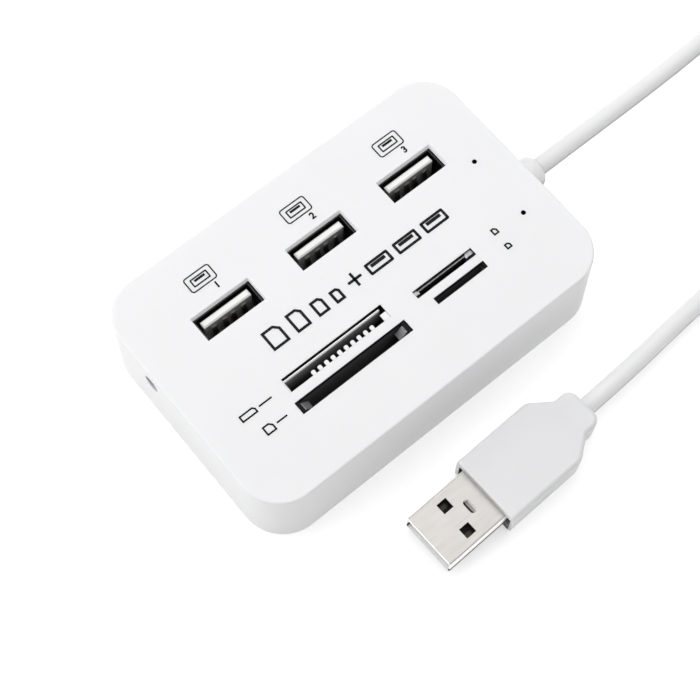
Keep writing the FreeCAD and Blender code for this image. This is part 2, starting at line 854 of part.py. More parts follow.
def make_grommet():
    """Moulded strain relief: flange inside the wall, neck through it, round-shouldered collar outside."""
    inner_face = -case_wall - grommet_play
    collar = grommet_diameter / 2
    outline = [(inner_face - grommet_flange_thickness, grommet_flange_diameter / 2),
               (inner_face, grommet_flange_diameter / 2), (inner_face, grommet_neck_diameter / 2),
               (grommet_play, grommet_neck_diameter / 2), (grommet_play, collar), (grommet_length, collar)]
    grommet = turned(outline, Vector(grommet_wall, exit_y, exit_height), Vector(1, 0, 0))
    end = [edge for edge in grommet.Edges if edge.BoundBox.XMin > cord_exit.x - grommet_dome]
    return grommet.makeFillet(grommet_dome, end)


def make_cable_wires():
    """Four wires from the strain relief's inner face, bent down to the board."""
    start = grommet_wall - case_wall - grommet_play - grommet_flange_thickness
    bend = start - wire_diameter
    drop = bend - wire_bend
    wires = []
    for y in row_places(exit_y, wire_count, wire_spacing):
        middle = Vector(bend - wire_bend * math.sin(math.radians(45)), y,
                        exit_height - wire_bend * (1 - math.cos(math.radians(45))))
        path = Part.Wire([
            Part.LineSegment(Vector(start, y, exit_height), Vector(bend, y, exit_height)).toShape(),
            Part.Arc(Vector(bend, y, exit_height), middle,
                     Vector(drop, y, exit_height - wire_bend)).toShape(),
            Part.LineSegment(Vector(drop, y, exit_height - wire_bend), Vector(drop, y, board_top)).toShape()])
        ring = Part.Circle(Vector(start, y, exit_height), Vector(1, 0, 0), wire_diameter / 2)
        wires.append(path.makePipeShell([Part.Wire(ring.toShape())], True, False))
    return Part.makeCompound(wires)


def cord_tube(route, name):
    """A round tube along straight runs joined by the largest arcs that they allow."""
    edges = []
    start = route[0]
    for before, corner, after in zip(route, route[1:], route[2:]):
        way_in = (corner - before).normalize()
        way_out = (after - corner).normalize()
        half_turn = way_in.getAngle(way_out) / 2
        trim = cord_arc_share * min((corner - before).Length, (after - corner).Length)
        radius = trim / math.tan(half_turn)
        arc_start = corner - way_in * trim
        arc_end = corner + way_out * trim
        towards = (way_out - way_in).normalize()
        middle = corner + towards * (radius / math.cos(half_turn) - radius)
        edges.append(Part.LineSegment(start, arc_start).toShape())
        edges.append(Part.Arc(arc_start, middle, arc_end).toShape())
        start = arc_end
        print(name, "arc radius", round(radius, 1))
    edges.append(Part.LineSegment(start, route[-1]).toShape())
    path = Part.Wire(edges)
    ring = Part.Wire(Part.Circle(route[0], route[1] - route[0], cord_radius).toShape())
    tube = path.makePipeShell([ring], True, False)
    print(name, "length", round(path.Length, 2), "volume ratio",
          round(tube.Volume / (path.Length * math.pi * cord_radius ** 2), 4))
    return tube


def lead_joint(route):
    """Where a cable's run ends and the coil's own lead begins, on the route's last run."""
    return route[-2] + (route[-1] - route[-2]) * cord_lead_share


def make_cable_coil():
    """The outer shape of the wound turns, with the two leads that come off it."""
    half_width = coil_half_width + cord_radius
    height = coil_layer_count * cord_diameter
    inner = coil_radius - half_width
    outer = coil_radius + half_width
    roof = coil_floor + height
    bevel = cord_radius / 2
    points = [(inner + bevel, coil_floor), (outer - bevel, coil_floor), (outer, coil_floor + bevel),
              (outer, roof - bevel), (outer - bevel, roof), (inner + bevel, roof), (inner, roof - bevel),
              (inner, coil_floor + bevel)]
    corners = [Vector(x, 0, z) for x, z in points]
    ring = Part.Face(Part.makePolygon(corners + corners[:1])).revolve(Vector(0, 0, 0), Vector(0, 0, 1), 360)
    ring.translate(Vector(coil_x, coil_y, 0))
    leads = []
    for route in (route_out, route_back):
        joint = lead_joint(route)
        leads.append(Part.makeCylinder(cord_radius, (route[-1] - joint).Length, joint, route[-1] - joint))
    return ring.fuse(leads).removeSplitter()


def make_cable_tie():
    """A flat band round the turns, closed on itself."""
    half_width = coil_half_width + cord_radius + tie_clearance
    height = coil_layer_count * cord_diameter + tie_clearance
    outer = block(coil_x + coil_radius, coil_y, 0, 2 * half_width + 2 * tie_thickness, tie_width,
                  coil_floor + height + tie_thickness)
    return outer.cut(block(coil_x + coil_radius, coil_y, coil_floor, 2 * half_width, tie_width, height))


def placed_plug(shape):
    """Set a plug piece, modelled with its tip at the origin, where the plug lies."""
    lie = FreeCAD.Placement(plug_tip, Rotation(Vector(0, 0, 1), plug_yaw))
    shape.Placement = lie.multiply(shape.Placement)
    return shape


def tube_section(width, height, radius, start, length):
    """A rounded bar along X from a start."""
    section = rounded_outline(height, width, radius, 0)
    section.rotate(Vector(0, 0, 0), Vector(0, 1, 0), 90)
    section.translate(Vector(start, 0, 0))
    return Part.Face(section).extrude(Vector(length, 0, 0))


def plug_dent(offset):
    """The round-ended hollow pressed into the plug's upper face, or its underside a sheet further out."""
    half_width = plug_dent_width / 2
    radius = (half_width ** 2 + plug_dent_depth ** 2) / (2 * plug_dent_depth)
    height = plug_shell_height / 2 + radius - plug_dent_depth
    reach = plug_dent_length / 2 - half_width
    start = Vector(plug_dent_setback, -reach, height)
    end = Vector(plug_dent_setback, reach, height)
    trough = Part.makeCylinder(radius + offset, 2 * reach, start, Vector(0, 1, 0))
    return trough.fuse([Part.makeSphere(radius + offset, start), Part.makeSphere(radius + offset, end)])


def make_plug_shell():
    """Folded steel tube with two windows in each broad face and a pressed dent in the upper one."""
    inner_width = plug_shell_width - 2 * plug_shell_sheet
    inner_height = plug_shell_height - 2 * plug_shell_sheet
    shell = tube_section(plug_shell_width, plug_shell_height, plug_shell_corner, 0, plug_shell_length)
    tip_edges = [edge for edge in shell.Edges if edge.BoundBox.XMax < plug_tip_chamfer]
    shell = shell.makeChamfer(plug_tip_chamfer, tip_edges)
    shell = shell.cut(tube_section(inner_width, inner_height, plug_shell_corner - plug_shell_sheet, 0,
                                   plug_shell_length))
    cuts = [block(plug_window_setback, side * plug_window_spacing / 2, -plug_shell_height, plug_window,
                  plug_window, 2 * plug_shell_height) for side in (-1, 1)]
    top = plug_shell_height / 2
    pressed = plug_dent(plug_shell_sheet).common(block(plug_dent_setback, 0, 0, plug_shell_length,
                                                       plug_shell_width, top))
    return placed_plug(shell.fuse(pressed).removeSplitter().cut(cuts + [plug_dent(0)]))


def plug_core_bottom():
    """The underside of the plug's insulator, on the shell's lower wall."""
    return -plug_shell_height / 2 + plug_shell_sheet


def make_plug_insulator():
    """Moulded plate on the lower wall of the shell, full height behind the space for a socket's tongue."""
    inner_width = plug_shell_width - 2 * plug_shell_corner
    inner_height = plug_shell_height - 2 * plug_shell_sheet - plug_clearance
    plate = Part.makeBox(plug_shell_length - plug_core_setback, inner_width, plug_core_thickness,
                         Vector(plug_core_setback, -inner_width / 2, plug_core_bottom()))
    block_start = plug_dent_setback + plug_window
    rear = Part.makeBox(plug_shell_length - block_start, inner_width, inner_height,
                        Vector(block_start, -inner_width / 2, plug_core_bottom()))
    return placed_plug(plate.fuse(rear).removeSplitter())


def make_plug_contacts():
    """Four flat strips on the insulator, the outer two reaching further forward."""
    strips = []
    top = plug_core_bottom() + plug_core_thickness
    for spacing, setback in ((usb_inner_spacing, 2 * plug_contact_setback),
                             (usb_outer_spacing, plug_contact_setback)):
        for side in (-1, 1):
            strips.append(Part.makeBox(plug_contact_length, usb_contact_width, contact_thickness,
                                       Vector(setback, side * spacing / 2 - usb_contact_width / 2, top)))
    return placed_plug(Part.makeCompound(strips))


def make_plug_overmold():
    """Moulded grip: flat body, round shoulders down to a collar, and a recess on each side of the shell."""
    front = plug_shell_exposed
    shoulder = front + overmold_body_length
    collar = shoulder + overmold_shoulder_length
    rear = collar + overmold_collar_length
    stations = [(front, overmold_width, overmold_thickness, 0, 0),
                (shoulder, overmold_width, overmold_thickness, overmold_shoulder_radius,
                 overmold_shoulder_radius),
                (collar, overmold_collar_width, overmold_collar_thickness, overmold_collar_radius,
                 overmold_collar_radius),
                (rear, overmold_collar_width, overmold_collar_thickness, overmold_rear_radius, 0)]
    plan = []
    profile = []
    for x, width, thickness, plan_radius, side_radius in stations:
        plan = [(Vector(x, -width / 2, -overmold_thickness / 2), plan_radius)] + plan
        plan = plan + [(Vector(x, width / 2, -overmold_thickness / 2), plan_radius)]
        profile = [(Vector(x, -overmold_width / 2, -thickness / 2), side_radius)] + profile
        profile = profile + [(Vector(x, -overmold_width / 2, thickness / 2), side_radius)]
    body = Part.Face(rounded_polygon(plan)).extrude(Vector(0, 0, overmold_thickness))
    body = body.common(Part.Face(rounded_polygon(profile)).extrude(Vector(0, overmold_width, 0)))
    long_edges = [edge for edge in body.Edges
                  if edge.BoundBox.XLength > plug_clearance
                  or (edge.BoundBox.XMin > rear - plug_clearance and edge.BoundBox.ZLength < plug_clearance)]
    body = body.makeFillet(overmold_edge_radius, long_edges)
    pocket = tube_section(plug_shell_width, plug_shell_height, plug_shell_corner, 0, plug_shell_length)
    recess = tube_section(plug_shell_width + 2 * overmold_recess_gap, plug_shell_height, plug_shell_corner, 0,
                          front + overmold_recess_depth)
    return placed_plug(body.cut([pocket, recess]))


os.makedirs("parts", exist_ok=True)

export(make_top_shell(), "top_shell")
export(make_bottom_cover(), "bottom_cover")
export(make_circuit_board(), "circuit_board")
export(make_board_screws(), "board_screws")

for number, port_x in enumerate(port_places(), 1):
    port = "usb_port_" + str(number)
    port_contacts = make_port_contacts(port_x)
    export(make_port_shell(port_x), port + "_shell")
    export(port_contacts, port + "_contacts")
    export(make_port_insulator(port_x, port_contacts), port + "_insulator")

large_slot, stick_slot, mini_slot, micro_slot = slot_windows()

large_contacts = make_card_contacts(large_slot_x, large_slot_y - large_card_width / 2, large_contact_count,
                                    large_contact_pitch, large_contact_width)
large_body = make_socket_body(large_slot, large_slot_x, large_slot_y, large_card_length, large_card_width,
                              large_front_wall, large_back_wall)
export(make_large_springs(), "large_card_springs")
export(large_contacts, "large_card_contacts")
export(large_body.cut(large_contacts), "large_card_socket")

stick_contacts = make_card_contacts(stick_slot_x + stick_comb_offset + stick_tooth_pitch / 2,
                                    stick_slot_y - stick_slot_width / 2, stick_tooth_count,
                                    stick_tooth_pitch, stick_contact_width)
export(stick_contacts, "stick_card_contacts")
export(make_stick_socket(stick_contacts), "stick_card_socket")
export(make_stick_plate(), "stick_card_plate")

mini_contacts = make_card_contacts(mini_card_x(), mini_space_y() - mini_space_width() / 2, mini_contact_count,
                                   mini_contact_pitch, mini_contact_width)
mini_body = make_socket_body(mini_slot, mini_card_x(), mini_space_y(), mini_card_length, mini_space_width(),
                             mini_front_wall, mini_back_wall)
export(mini_contacts, "mini_card_contacts")
export(mini_body.cut([mini_contacts, mini_flanges(case_height)]), "mini_card_socket")
export(make_mini_shield(), "mini_card_shield")

micro_contacts = make_card_contacts(micro_slot_x, micro_slot_y - micro_card_width / 2, micro_contact_count,
                                    micro_contact_pitch, micro_contact_width)
micro_body = make_socket_body(micro_slot, micro_slot_x, micro_slot_y, micro_card_length, micro_card_width,
                              micro_front_wall, micro_back_wall)
export(micro_contacts, "micro_card_contacts")
export(micro_body.cut(micro_contacts), "micro_card_socket")

export(make_chip(hub_chip_x, hub_chip_length, hub_chip_width, hub_chip_pin_count, hub_chip_pitch, False),
       "hub_chip")
export(make_chip(reader_chip_x, reader_chip_side, reader_chip_side, reader_chip_pin_count, reader_chip_pitch,
                 True), "reader_chip")
export(make_crystals(), "crystals")
export(make_bulk_capacitor(), "bulk_capacitor")
export(make_chip_parts(), "chip_parts")
export(make_status_leds(), "status_leds")
export(make_led_legs(), "led_legs")

jack_spring = make_jack_spring()
export(make_jack_housing(jack_spring), "dc_jack_housing")
export(make_jack_pin(), "dc_jack_pin")
export(jack_spring, "dc_jack_spring")

export(make_grommet(), "cable_grommet")
export(make_cable_wires(), "cable_wires")
export(cord_tube(route_out[:-1] + [lead_joint(route_out)], "cable_run_out"), "cable_run_out")
export(cord_tube(route_back[:-1] + [lead_joint(route_back)], "cable_run_back"), "cable_run_back")
export(make_cable_coil(), "cable_coil")
export(make_cable_tie(), "cable_tie")

export(make_plug_shell(), "plug_shell")
export(make_plug_insulator(), "plug_insulator")
export(make_plug_contacts(), "plug_contacts")
export(make_plug_overmold(), "plug_overmold")
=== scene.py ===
import math

import bmesh
import bpy
from mathutils import Matrix, Vector


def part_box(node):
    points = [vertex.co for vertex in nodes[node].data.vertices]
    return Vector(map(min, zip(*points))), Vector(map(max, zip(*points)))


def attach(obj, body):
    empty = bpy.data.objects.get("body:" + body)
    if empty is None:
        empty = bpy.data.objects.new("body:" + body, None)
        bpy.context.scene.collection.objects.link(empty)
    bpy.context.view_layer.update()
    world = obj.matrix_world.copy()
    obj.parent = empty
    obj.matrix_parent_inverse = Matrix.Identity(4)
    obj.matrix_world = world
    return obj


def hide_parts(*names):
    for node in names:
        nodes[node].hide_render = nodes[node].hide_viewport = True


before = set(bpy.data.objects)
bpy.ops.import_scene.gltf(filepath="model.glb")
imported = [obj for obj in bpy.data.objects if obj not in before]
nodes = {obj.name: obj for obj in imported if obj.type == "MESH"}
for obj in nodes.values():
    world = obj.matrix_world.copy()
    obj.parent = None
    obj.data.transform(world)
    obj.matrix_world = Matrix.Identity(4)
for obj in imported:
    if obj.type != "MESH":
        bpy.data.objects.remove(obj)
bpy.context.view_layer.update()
scene = bpy.context.scene
mm = 0.001


# Case: a top moulded in white plastic and a flat cover that snaps into its foot. Both come from
# polished tools with a very fine spark texture, so they are satin, with a faint drift in tone.
COLOUR, NUMBER = "NodeSocketColor", "NodeSocketFloat"
white = (1.0, 1.0, 1.0, 1.0)
black = (0.0, 0.0, 0.0, 1.0)


def shader_group(name, inputs, outputs):
    """A new group of shader nodes with named inputs and outputs."""
    group = bpy.data.node_groups.new(name, "ShaderNodeTree")
    for label, kind, value in inputs:
        socket = group.interface.new_socket(label, in_out="INPUT", socket_type=kind)
        socket.default_value = value
    for label, kind in outputs:
        group.interface.new_socket(label, in_out="OUTPUT", socket_type=kind)
    return group, group.nodes.new("NodeGroupInput"), group.nodes.new("NodeGroupOutput")


def feed(tree, value, socket):
    """Link a value into a socket, or set it there if it is a plain number or colour."""
    if isinstance(value, bpy.types.NodeSocket):
        tree.links.new(value, socket)
    else:
        socket.default_value = value


def fade(tree, value, start, end, low=0.0, high=1.0):
    """A value that goes from low at the start of a range to high at its end."""
    ramp = tree.nodes.new("ShaderNodeMapRange")
    for label, given in (("Value", value), ("From Min", start), ("From Max", end),
                         ("To Min", low), ("To Max", high)):
        feed(tree, given, ramp.inputs[label])
    return ramp.outputs["Result"]


def lay_over(tree, mask, below, above):
    """A colour laid over another where a mask is 1."""
    mix = tree.nodes.new("ShaderNodeMix")
    mix.data_type = "RGBA"
    mix.clamp_factor = False
    for label, given in (("Factor", mask), ("A", below), ("B", above)):
        feed(tree, given, mix.inputs[label])
    return mix.outputs["Result"]


skin, skin_in, skin_out = shader_group(
    "moulded_skin",
    [("Tone", COLOUR, white), ("Shade", COLOUR, white), ("Grain", NUMBER, 2500.0),
     ("Drift", NUMBER, 60.0), ("Smooth", NUMBER, 0.3), ("Rough", NUMBER, 0.4)],
    [("Color", COLOUR), ("Roughness", NUMBER), ("Height", NUMBER)])
noise_low, noise_high = 0.3, 0.7
skin_place = skin.nodes.new("ShaderNodeTexCoord")
skin_drift = skin.nodes.new("ShaderNodeTexNoise")
skin_grain = skin.nodes.new("ShaderNodeTexNoise")
skin_grain.inputs["Detail"].default_value = 4.0
for texture, label in ((skin_drift, "Drift"), (skin_grain, "Grain")):
    skin.links.new(skin_place.outputs["Object"], texture.inputs["Vector"])
    skin.links.new(skin_in.outputs[label], texture.inputs["Scale"])
skin_tone = lay_over(skin, skin_drift.outputs["Fac"], skin_in.outputs["Tone"], skin_in.outputs["Shade"])
skin_gloss = fade(skin, skin_grain.outputs["Fac"], noise_low, noise_high,
                  skin_in.outputs["Smooth"], skin_in.outputs["Rough"])
for value, label in ((skin_tone, "Color"), (skin_gloss, "Roughness"), (skin_grain.outputs["Fac"], "Height")):
    skin.links.new(value, skin_out.inputs[label])


def split(tree, vector):
    """The X, Y and Z of a place or a direction."""
    parts = tree.nodes.new("ShaderNodeSeparateXYZ")
    tree.links.new(vector, parts.inputs["Vector"])
    return parts.outputs


def sum_step(tree, operation, *values):
    """One step of a sum over masks, places and plain numbers."""
    step = tree.nodes.new("ShaderNodeMath")
    step.operation = operation
    for socket, value in zip(step.inputs, values):
        feed(tree, value, socket)
    return step.outputs["Value"]


# Painted shade by depth: below a level a colour fades to another, standing in for shade down in sockets and
# slots.
well, well_in, well_out = shader_group(
    "well_shade",
    [("Color", COLOUR, white), ("Level", NUMBER, 0.0), ("Depth", NUMBER, 0.001), ("Dark", COLOUR, white)],
    [("Color", COLOUR)])
well_spot = split(well, well.nodes.new("ShaderNodeTexCoord").outputs["Object"])
well_foot = sum_step(well, "SUBTRACT", well_in.outputs["Level"], well_in.outputs["Depth"])
well_fall = fade(well, well_spot["Z"], well_in.outputs["Level"], well_foot)
well_fall.node.interpolation_type = "SMOOTHSTEP"
well.links.new(lay_over(well, well_fall, well_in.outputs["Color"], well_in.outputs["Dark"]),
               well_out.inputs["Color"])


def finish(name, group, relief, values, metallic=0.0, shade=None, **sockets):
    """A material whose tone, gloss and relief come from the shared groups, plus painted shade by depth if
    given.
    """
    material = bpy.data.materials.new(name)
    material.use_nodes = True
    tree = material.node_tree
    surface = tree.nodes["Principled BSDF"]
    surface.inputs["Metallic"].default_value = metallic
    for label, value in sockets.items():
        surface.inputs[label.replace("_", " ")].default_value = value
    effect = tree.nodes.new("ShaderNodeGroup")
    effect.node_tree = group
    for label, value in values.items():
        effect.inputs[label].default_value = value
    bump = tree.nodes.new("ShaderNodeBump")
    bump.inputs["Strength"].default_value = 0.5
    bump.inputs["Distance"].default_value = relief
    colour = effect.outputs["Color"]
    if shade:
        depth = tree.nodes.new("ShaderNodeGroup")
        depth.node_tree = well
        for label, value in shade.items():
            depth.inputs[label].default_value = value
        tree.links.new(colour, depth.inputs["Color"])
        colour = depth.outputs["Color"]
    tree.links.new(colour, surface.inputs["Base Color"])
    tree.links.new(effect.outputs["Roughness"], surface.inputs["Roughness"])
    tree.links.new(effect.outputs["Height"], bump.inputs["Height"])
    tree.links.new(bump.outputs["Normal"], surface.inputs["Normal"])
    return material


def dress(material, *names):
    """Give CAD nodes a finish."""
    for name in names:
        nodes[name].data.materials.clear()
        nodes[name].data.materials.append(material)


white_case = finish("white_case", skin, 0.004 * mm,
                    {"Tone": (0.80, 0.80, 0.81, 1), "Shade": (0.775, 0.775, 0.785, 1), "Grain": 3000.0,
                     "Smooth": 0.30, "Rough": 0.40},
                    Subsurface_Weight=0.4, Subsurface_Radius=(1, 1, 1), Subsurface_Scale=1.2 * mm,
                    Emission_Color=black, Emission_Strength=1.0)
dress(white_case, "top_shell", "bottom_cover")
case_low, case_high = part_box("top_shell")
top_level = case_high.z
top_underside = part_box("usb_port_1_shell")[1].z
case_tree = white_case.node_tree
case_place = case_tree.nodes.new("ShaderNodeTexCoord")
case_spot = split(case_tree, case_place.outputs["Object"])
case_face = split(case_tree, case_place.outputs["Normal"])


def all_of(tree, mask, *others):
    """A mask that is 1 where all of the given masks are."""
    for other in others:
        mask = sum_step(tree, "MULTIPLY", mask, other)
    return mask


def paint(material, label, mask, colour):
    """Lay a colour over what a socket of a finish has, where a mask is 1."""
    tree = material.node_tree
    socket = tree.nodes["Principled BSDF"].inputs[label]
    below = socket.links[0].from_socket if socket.is_linked else tuple(socket.default_value)
    tree.links.new(lay_over(tree, mask, below, colour), socket)


# Painted shade: the walls of the jack's hole in the left end are grey from just inside its mouth inwards.
jack_low, jack_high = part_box("dc_jack_pin")
jack_middle = (jack_low + jack_high) / 2
hole_setback, hole_fade, hole_reach = 0.4 * mm, 0.25 * mm, 6.0 * mm
hole_radius = 2.0 * mm
into_hole = sum_step(case_tree, "SUBTRACT", case_spot["X"], case_low.x + hole_setback)
hole_across = sum_step(case_tree, "SUBTRACT", case_spot["Y"], jack_middle.y)
hole_up = sum_step(case_tree, "SUBTRACT", case_spot["Z"], jack_middle.z)
off_axis = sum_step(case_tree, "SQRT", sum_step(case_tree, "MULTIPLY_ADD", hole_across, hole_across,
                                                sum_step(case_tree, "MULTIPLY", hole_up, hole_up)))
in_hole = all_of(case_tree, sum_step(case_tree, "LESS_THAN", off_axis, hole_radius),
                 sum_step(case_tree, "LESS_THAN", into_hole, hole_reach),
                 fade(case_tree, into_hole, 0.0, hole_fade))
paint(white_case, "Base Color", in_hole, (0.62, 0.62, 0.625, 1))


def within(tree, value, reach):
    """A mask that is 1 where a value is less than a reach away from 0."""
    return sum_step(tree, "LESS_THAN", sum_step(tree, "ABSOLUTE", value), reach)


def between(tree, value, low, high):
    """A mask that is 1 where a value lies between two others."""
    return sum_step(tree, "MULTIPLY", sum_step(tree, "GREATER_THAN", value, low),
                    sum_step(tree, "LESS_THAN", value, high))


# Painted shade and glow: the slot walls in the top are near-black, the socket walls glow faintly, most at
# their ends.
opening_margin = 6 * mm
slots_end = 6 * mm
in_openings = all_of(case_tree, within(case_tree, case_spot["X"], case_high.x - opening_margin),
                     within(case_tree, case_spot["Y"], case_high.y - opening_margin),
                     between(case_tree, case_spot["Z"], top_underside + 0.02 * mm, top_level - 0.03 * mm))
in_slots = all_of(case_tree, in_openings, sum_step(case_tree, "LESS_THAN", case_spot["Y"], slots_end))
in_sockets = sum_step(case_tree, "SUBTRACT", in_openings, in_slots)
socket_ends = all_of(case_tree, in_sockets, sum_step(case_tree, "ABSOLUTE", case_face["X"]))
socket_wall_glow = sum_step(case_tree, "ADD", in_sockets, socket_ends)
paint(white_case, "Base Color", in_slots, (0.012, 0.012, 0.013, 1))
paint(white_case, "Emission Color", socket_wall_glow, (0.16, 0.16, 0.16, 1))


# Printed marks: black ink pad-printed on the top, a framed socket sign and a number over each
# upright socket, a row of card and socket signs across the middle, and a card sign by each slot.
ink_height = 0.02 * mm
ink_depth = 0.05 * mm
ink_corner = 0.05 * mm
ink = finish("black_ink", skin, 0.002 * mm,
             {"Tone": (0.004, 0.004, 0.005, 1), "Shade": (0.009, 0.009, 0.010, 1), "Grain": 6000.0,
              "Smooth": 0.5, "Rough": 0.7}, Specular_IOR_Level=0.15)


def inset(points, distance):
    """The corners of a convex outline moved in by a distance."""
    sharpest = 0.3
    moved = []
    for index, corner in enumerate(points):
        before = (corner - points[index - 1]).normalized()
        after = (points[(index + 1) % len(points)] - corner).normalized()
        square = Vector((-before.y, before.x))
        inward = (square + Vector((-after.y, after.x))).normalized()
        moved.append(corner + inward * (distance / max(sharpest, inward.dot(square))))
    return moved


def ink_area(mesh, points, stroke=None):
    """Ink in an outline, drawn as a line of a width or filled."""
    outer = [mesh.verts.new((p.x, p.y, 0)) for p in points]
    if stroke is None:
        mesh.faces.new(outer)
        return
    inner = [mesh.verts.new((p.x, p.y, 0)) for p in inset(points, stroke)]
    for index in range(len(points)):
        following = (index + 1) % len(points)
        mesh.faces.new((outer[index], outer[following], inner[following], inner[index]))


def ink_piece(name, mesh):
    """Thicken flat ink down into the surface that it lies on."""
    bmesh.ops.recalc_face_normals(mesh, faces=mesh.faces)
    for face in mesh.faces:
        if face.normal.z < 0:
            face.normal_flip()
    raised = bmesh.ops.extrude_face_region(mesh, geom=mesh.faces[:])
    upper = [part for part in raised["geom"] if isinstance(part, bmesh.types.BMVert)]
    bmesh.ops.translate(mesh, vec=(0, 0, ink_height), verts=upper)
    for vert in mesh.verts:
        if vert.co.z <= 0:
            vert.co.z -= ink_depth
        vert.co.z += top_level
    bmesh.ops.recalc_face_normals(mesh, faces=mesh.faces)
    data = bpy.data.meshes.new(name)
    mesh.to_mesh(data)
    mesh.free()
    data.materials.append(ink)
    piece = bpy.data.objects.new(name, data)
    scene.collection.objects.link(piece)
    return piece


def rounded(x, y, width, height, radius, steps=6):
    """A rectangle with round corners, anticlockwise."""
    points = []
    for side_x, side_y, start in ((1, 1, 0), (-1, 1, 90), (-1, -1, 180), (1, -1, 270)):
        centre = Vector((x + side_x * (width / 2 - radius), y + side_y * (height / 2 - radius)))
        for step in range(steps + 1):
            angle = math.radians(start + 90 * step / steps)
            points.append(centre + radius * Vector((math.cos(angle), math.sin(angle))))
    return points


def card_sign(x, y, width, height, clip):
    """A card with one corner cut off, anticlockwise."""
    low, high = Vector((x - width / 2, y - height / 2)), Vector((x + width / 2, y + height / 2))
    return [low, Vector((high.x, low.y)), Vector((high.x, high.y - clip)), Vector((high.x - clip, high.y)),
            Vector((low.x, high.y))]


def socket_sign(mesh, x, y, width, stroke):
    """A socket seen into its mouth, with its tongue."""
    mouth_height, mouth_corner = width * 0.48, width * 0.06
    tongue_width, tongue_height, tongue_corner = width * 0.62, width * 0.13, width * 0.02
    tongue_lift = width * 0.06
    ink_area(mesh, rounded(x, y, width, mouth_height, mouth_corner), stroke)
    ink_area(mesh, rounded(x, y + tongue_lift, tongue_width, tongue_height, tongue_corner))


def digit_shape(text, size):
    """A plain figure as a flat mesh about its own middle."""
    boldness = 0.035
    letters = bpy.data.curves.new("figure", "FONT")
    letters.body = text
    letters.size = size
    letters.offset = boldness * size
    letters.align_x = "CENTER"
    letters.align_y = "CENTER"
    maker = bpy.data.objects.new("figure", letters)
    scene.collection.objects.link(maker)
    flat = bpy.data.meshes.new_from_object(maker.evaluated_get(bpy.context.evaluated_depsgraph_get()))
    bpy.data.objects.remove(maker)
    return flat


DIRECTION = "NodeSocketVector"
row_tree = bpy.data.node_groups.new("row_of_pieces", "GeometryNodeTree")
for label, kind in (("Piece", "NodeSocketObject"), ("Count", "NodeSocketInt"), ("First", DIRECTION),
                    ("Step", DIRECTION), ("Finish", "NodeSocketMaterial")):
    row_tree.interface.new_socket(label, in_out="INPUT", socket_type=kind)
row_tree.interface.new_socket("Geometry", in_out="OUTPUT", socket_type="NodeSocketGeometry")
row_in = row_tree.nodes.new("NodeGroupInput")
row_out = row_tree.nodes.new("NodeGroupOutput")
row_line = row_tree.nodes.new("GeometryNodeMeshLine")
row_piece = row_tree.nodes.new("GeometryNodeObjectInfo")
row_places = row_tree.nodes.new("GeometryNodeInstanceOnPoints")
row_real = row_tree.nodes.new("GeometryNodeRealizeInstances")
row_finish = row_tree.nodes.new("GeometryNodeSetMaterial")
for source, output, target, entry in (
        (row_in, "Count", row_line, "Count"), (row_in, "First", row_line, "Start Location"),
        (row_in, "Step", row_line, "Offset"), (row_in, "Piece", row_piece, "Object"),
        (row_line, "Mesh", row_places, "Points"), (row_piece, "Geometry", row_places, "Instance"),
        (row_places, "Instances", row_real, "Geometry"), (row_real, "Geometry", row_finish, "Geometry"),
        (row_in, "Finish", row_finish, "Material"), (row_finish, "Geometry", row_out, "Geometry")):
    row_tree.links.new(source.outputs[output], target.inputs[entry])


def row_of(name, piece, count, first, step, material):
    """An evenly spaced row of one piece, as a plain mesh."""
    maker = bpy.data.objects.new(name, bpy.data.meshes.new(name))
    scene.collection.objects.link(maker)
    modifier = maker.modifiers.new("row", "NODES")
    modifier.node_group = row_tree
    values = {"Piece": piece, "Count": count, "First": first, "Step": step, "Finish": material}
    for item in row_tree.interface.items_tree:
        if item.in_out == "INPUT":
            modifier[item.identifier] = values[item.name]
    made = bpy.data.meshes.new_from_object(maker.evaluated_get(bpy.context.evaluated_depsgraph_get()))
    maker.modifiers.remove(modifier)
    maker.data = made
    bpy.data.objects.remove(piece)
    return maker


port_boxes = [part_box("usb_port_%d_shell" % number) for number in (1, 2, 3)]
port_middles = [(low + high) / 2 for low, high in port_boxes]
port_step = port_middles[1].x - port_middles[0].x
frame_width, frame_height, frame_corner, frame_line = 6.0 * mm, 3.6 * mm, 0.65 * mm, 0.27 * mm
frame_sign_width, frame_sign_line = 3.9 * mm, 0.3 * mm
frame_shift, frame_lift = -0.3 * mm, 8.3 * mm
frame_step = Vector((port_step + 0.4 * mm, -0.15 * mm, 0))
first_frame = Vector((port_middles[0].x + frame_shift, port_middles[0].y + frame_lift, 0))
mark = bmesh.new()
ink_area(mark, rounded(0, 0, frame_width, frame_height, frame_corner), frame_line)
socket_sign(mark, 0, 0, frame_sign_width, frame_sign_line)
port_marks = row_of("port_marks", ink_piece("frame_mark", mark), 3, first_frame, frame_step, ink)

numbers = bmesh.new()
figure_size = 2.0 * mm
under_frame = Vector((1.75, -3.05, 0)) * mm
for number in (1, 2, 3):
    flat = digit_shape(str(number), figure_size)
    flat.transform(Matrix.Translation(first_frame + (number - 1) * frame_step + under_frame))
    numbers.from_mesh(flat)
port_numbers = ink_piece("port_numbers", numbers)

band = bmesh.new()
band_y = 0.5 * mm
band_line = 0.56 * mm
band_clip = 0.28
tall_card = 4.4
for x, width, height in ((-18.6, 3.9, tall_card), (-13.2, 3.3, tall_card),
                         (-8.4, 2.7, 3.5), (-4.4, 2.2, 2.9)):
    card_y = band_y + (height - tall_card) / 2 * mm
    ink_area(band, card_sign(x * mm, card_y, width * mm, height * mm, band_clip * width * mm), band_line)
plus_x, plus_drop, plus_length = 0.2 * mm, 0.3 * mm, 3.2 * mm
for width, height in ((plus_length, band_line), (band_line, plus_length)):
    ink_area(band, rounded(plus_x, band_y - plus_drop, width, height, ink_corner))
band_socket_drop, band_socket_width = 0.5 * mm, 5.6 * mm
for x in (6.0, 12.9, 19.8):
    socket_sign(band, x * mm, band_y - band_socket_drop, band_socket_width, band_line)
middle_signs = ink_piece("middle_signs", band)

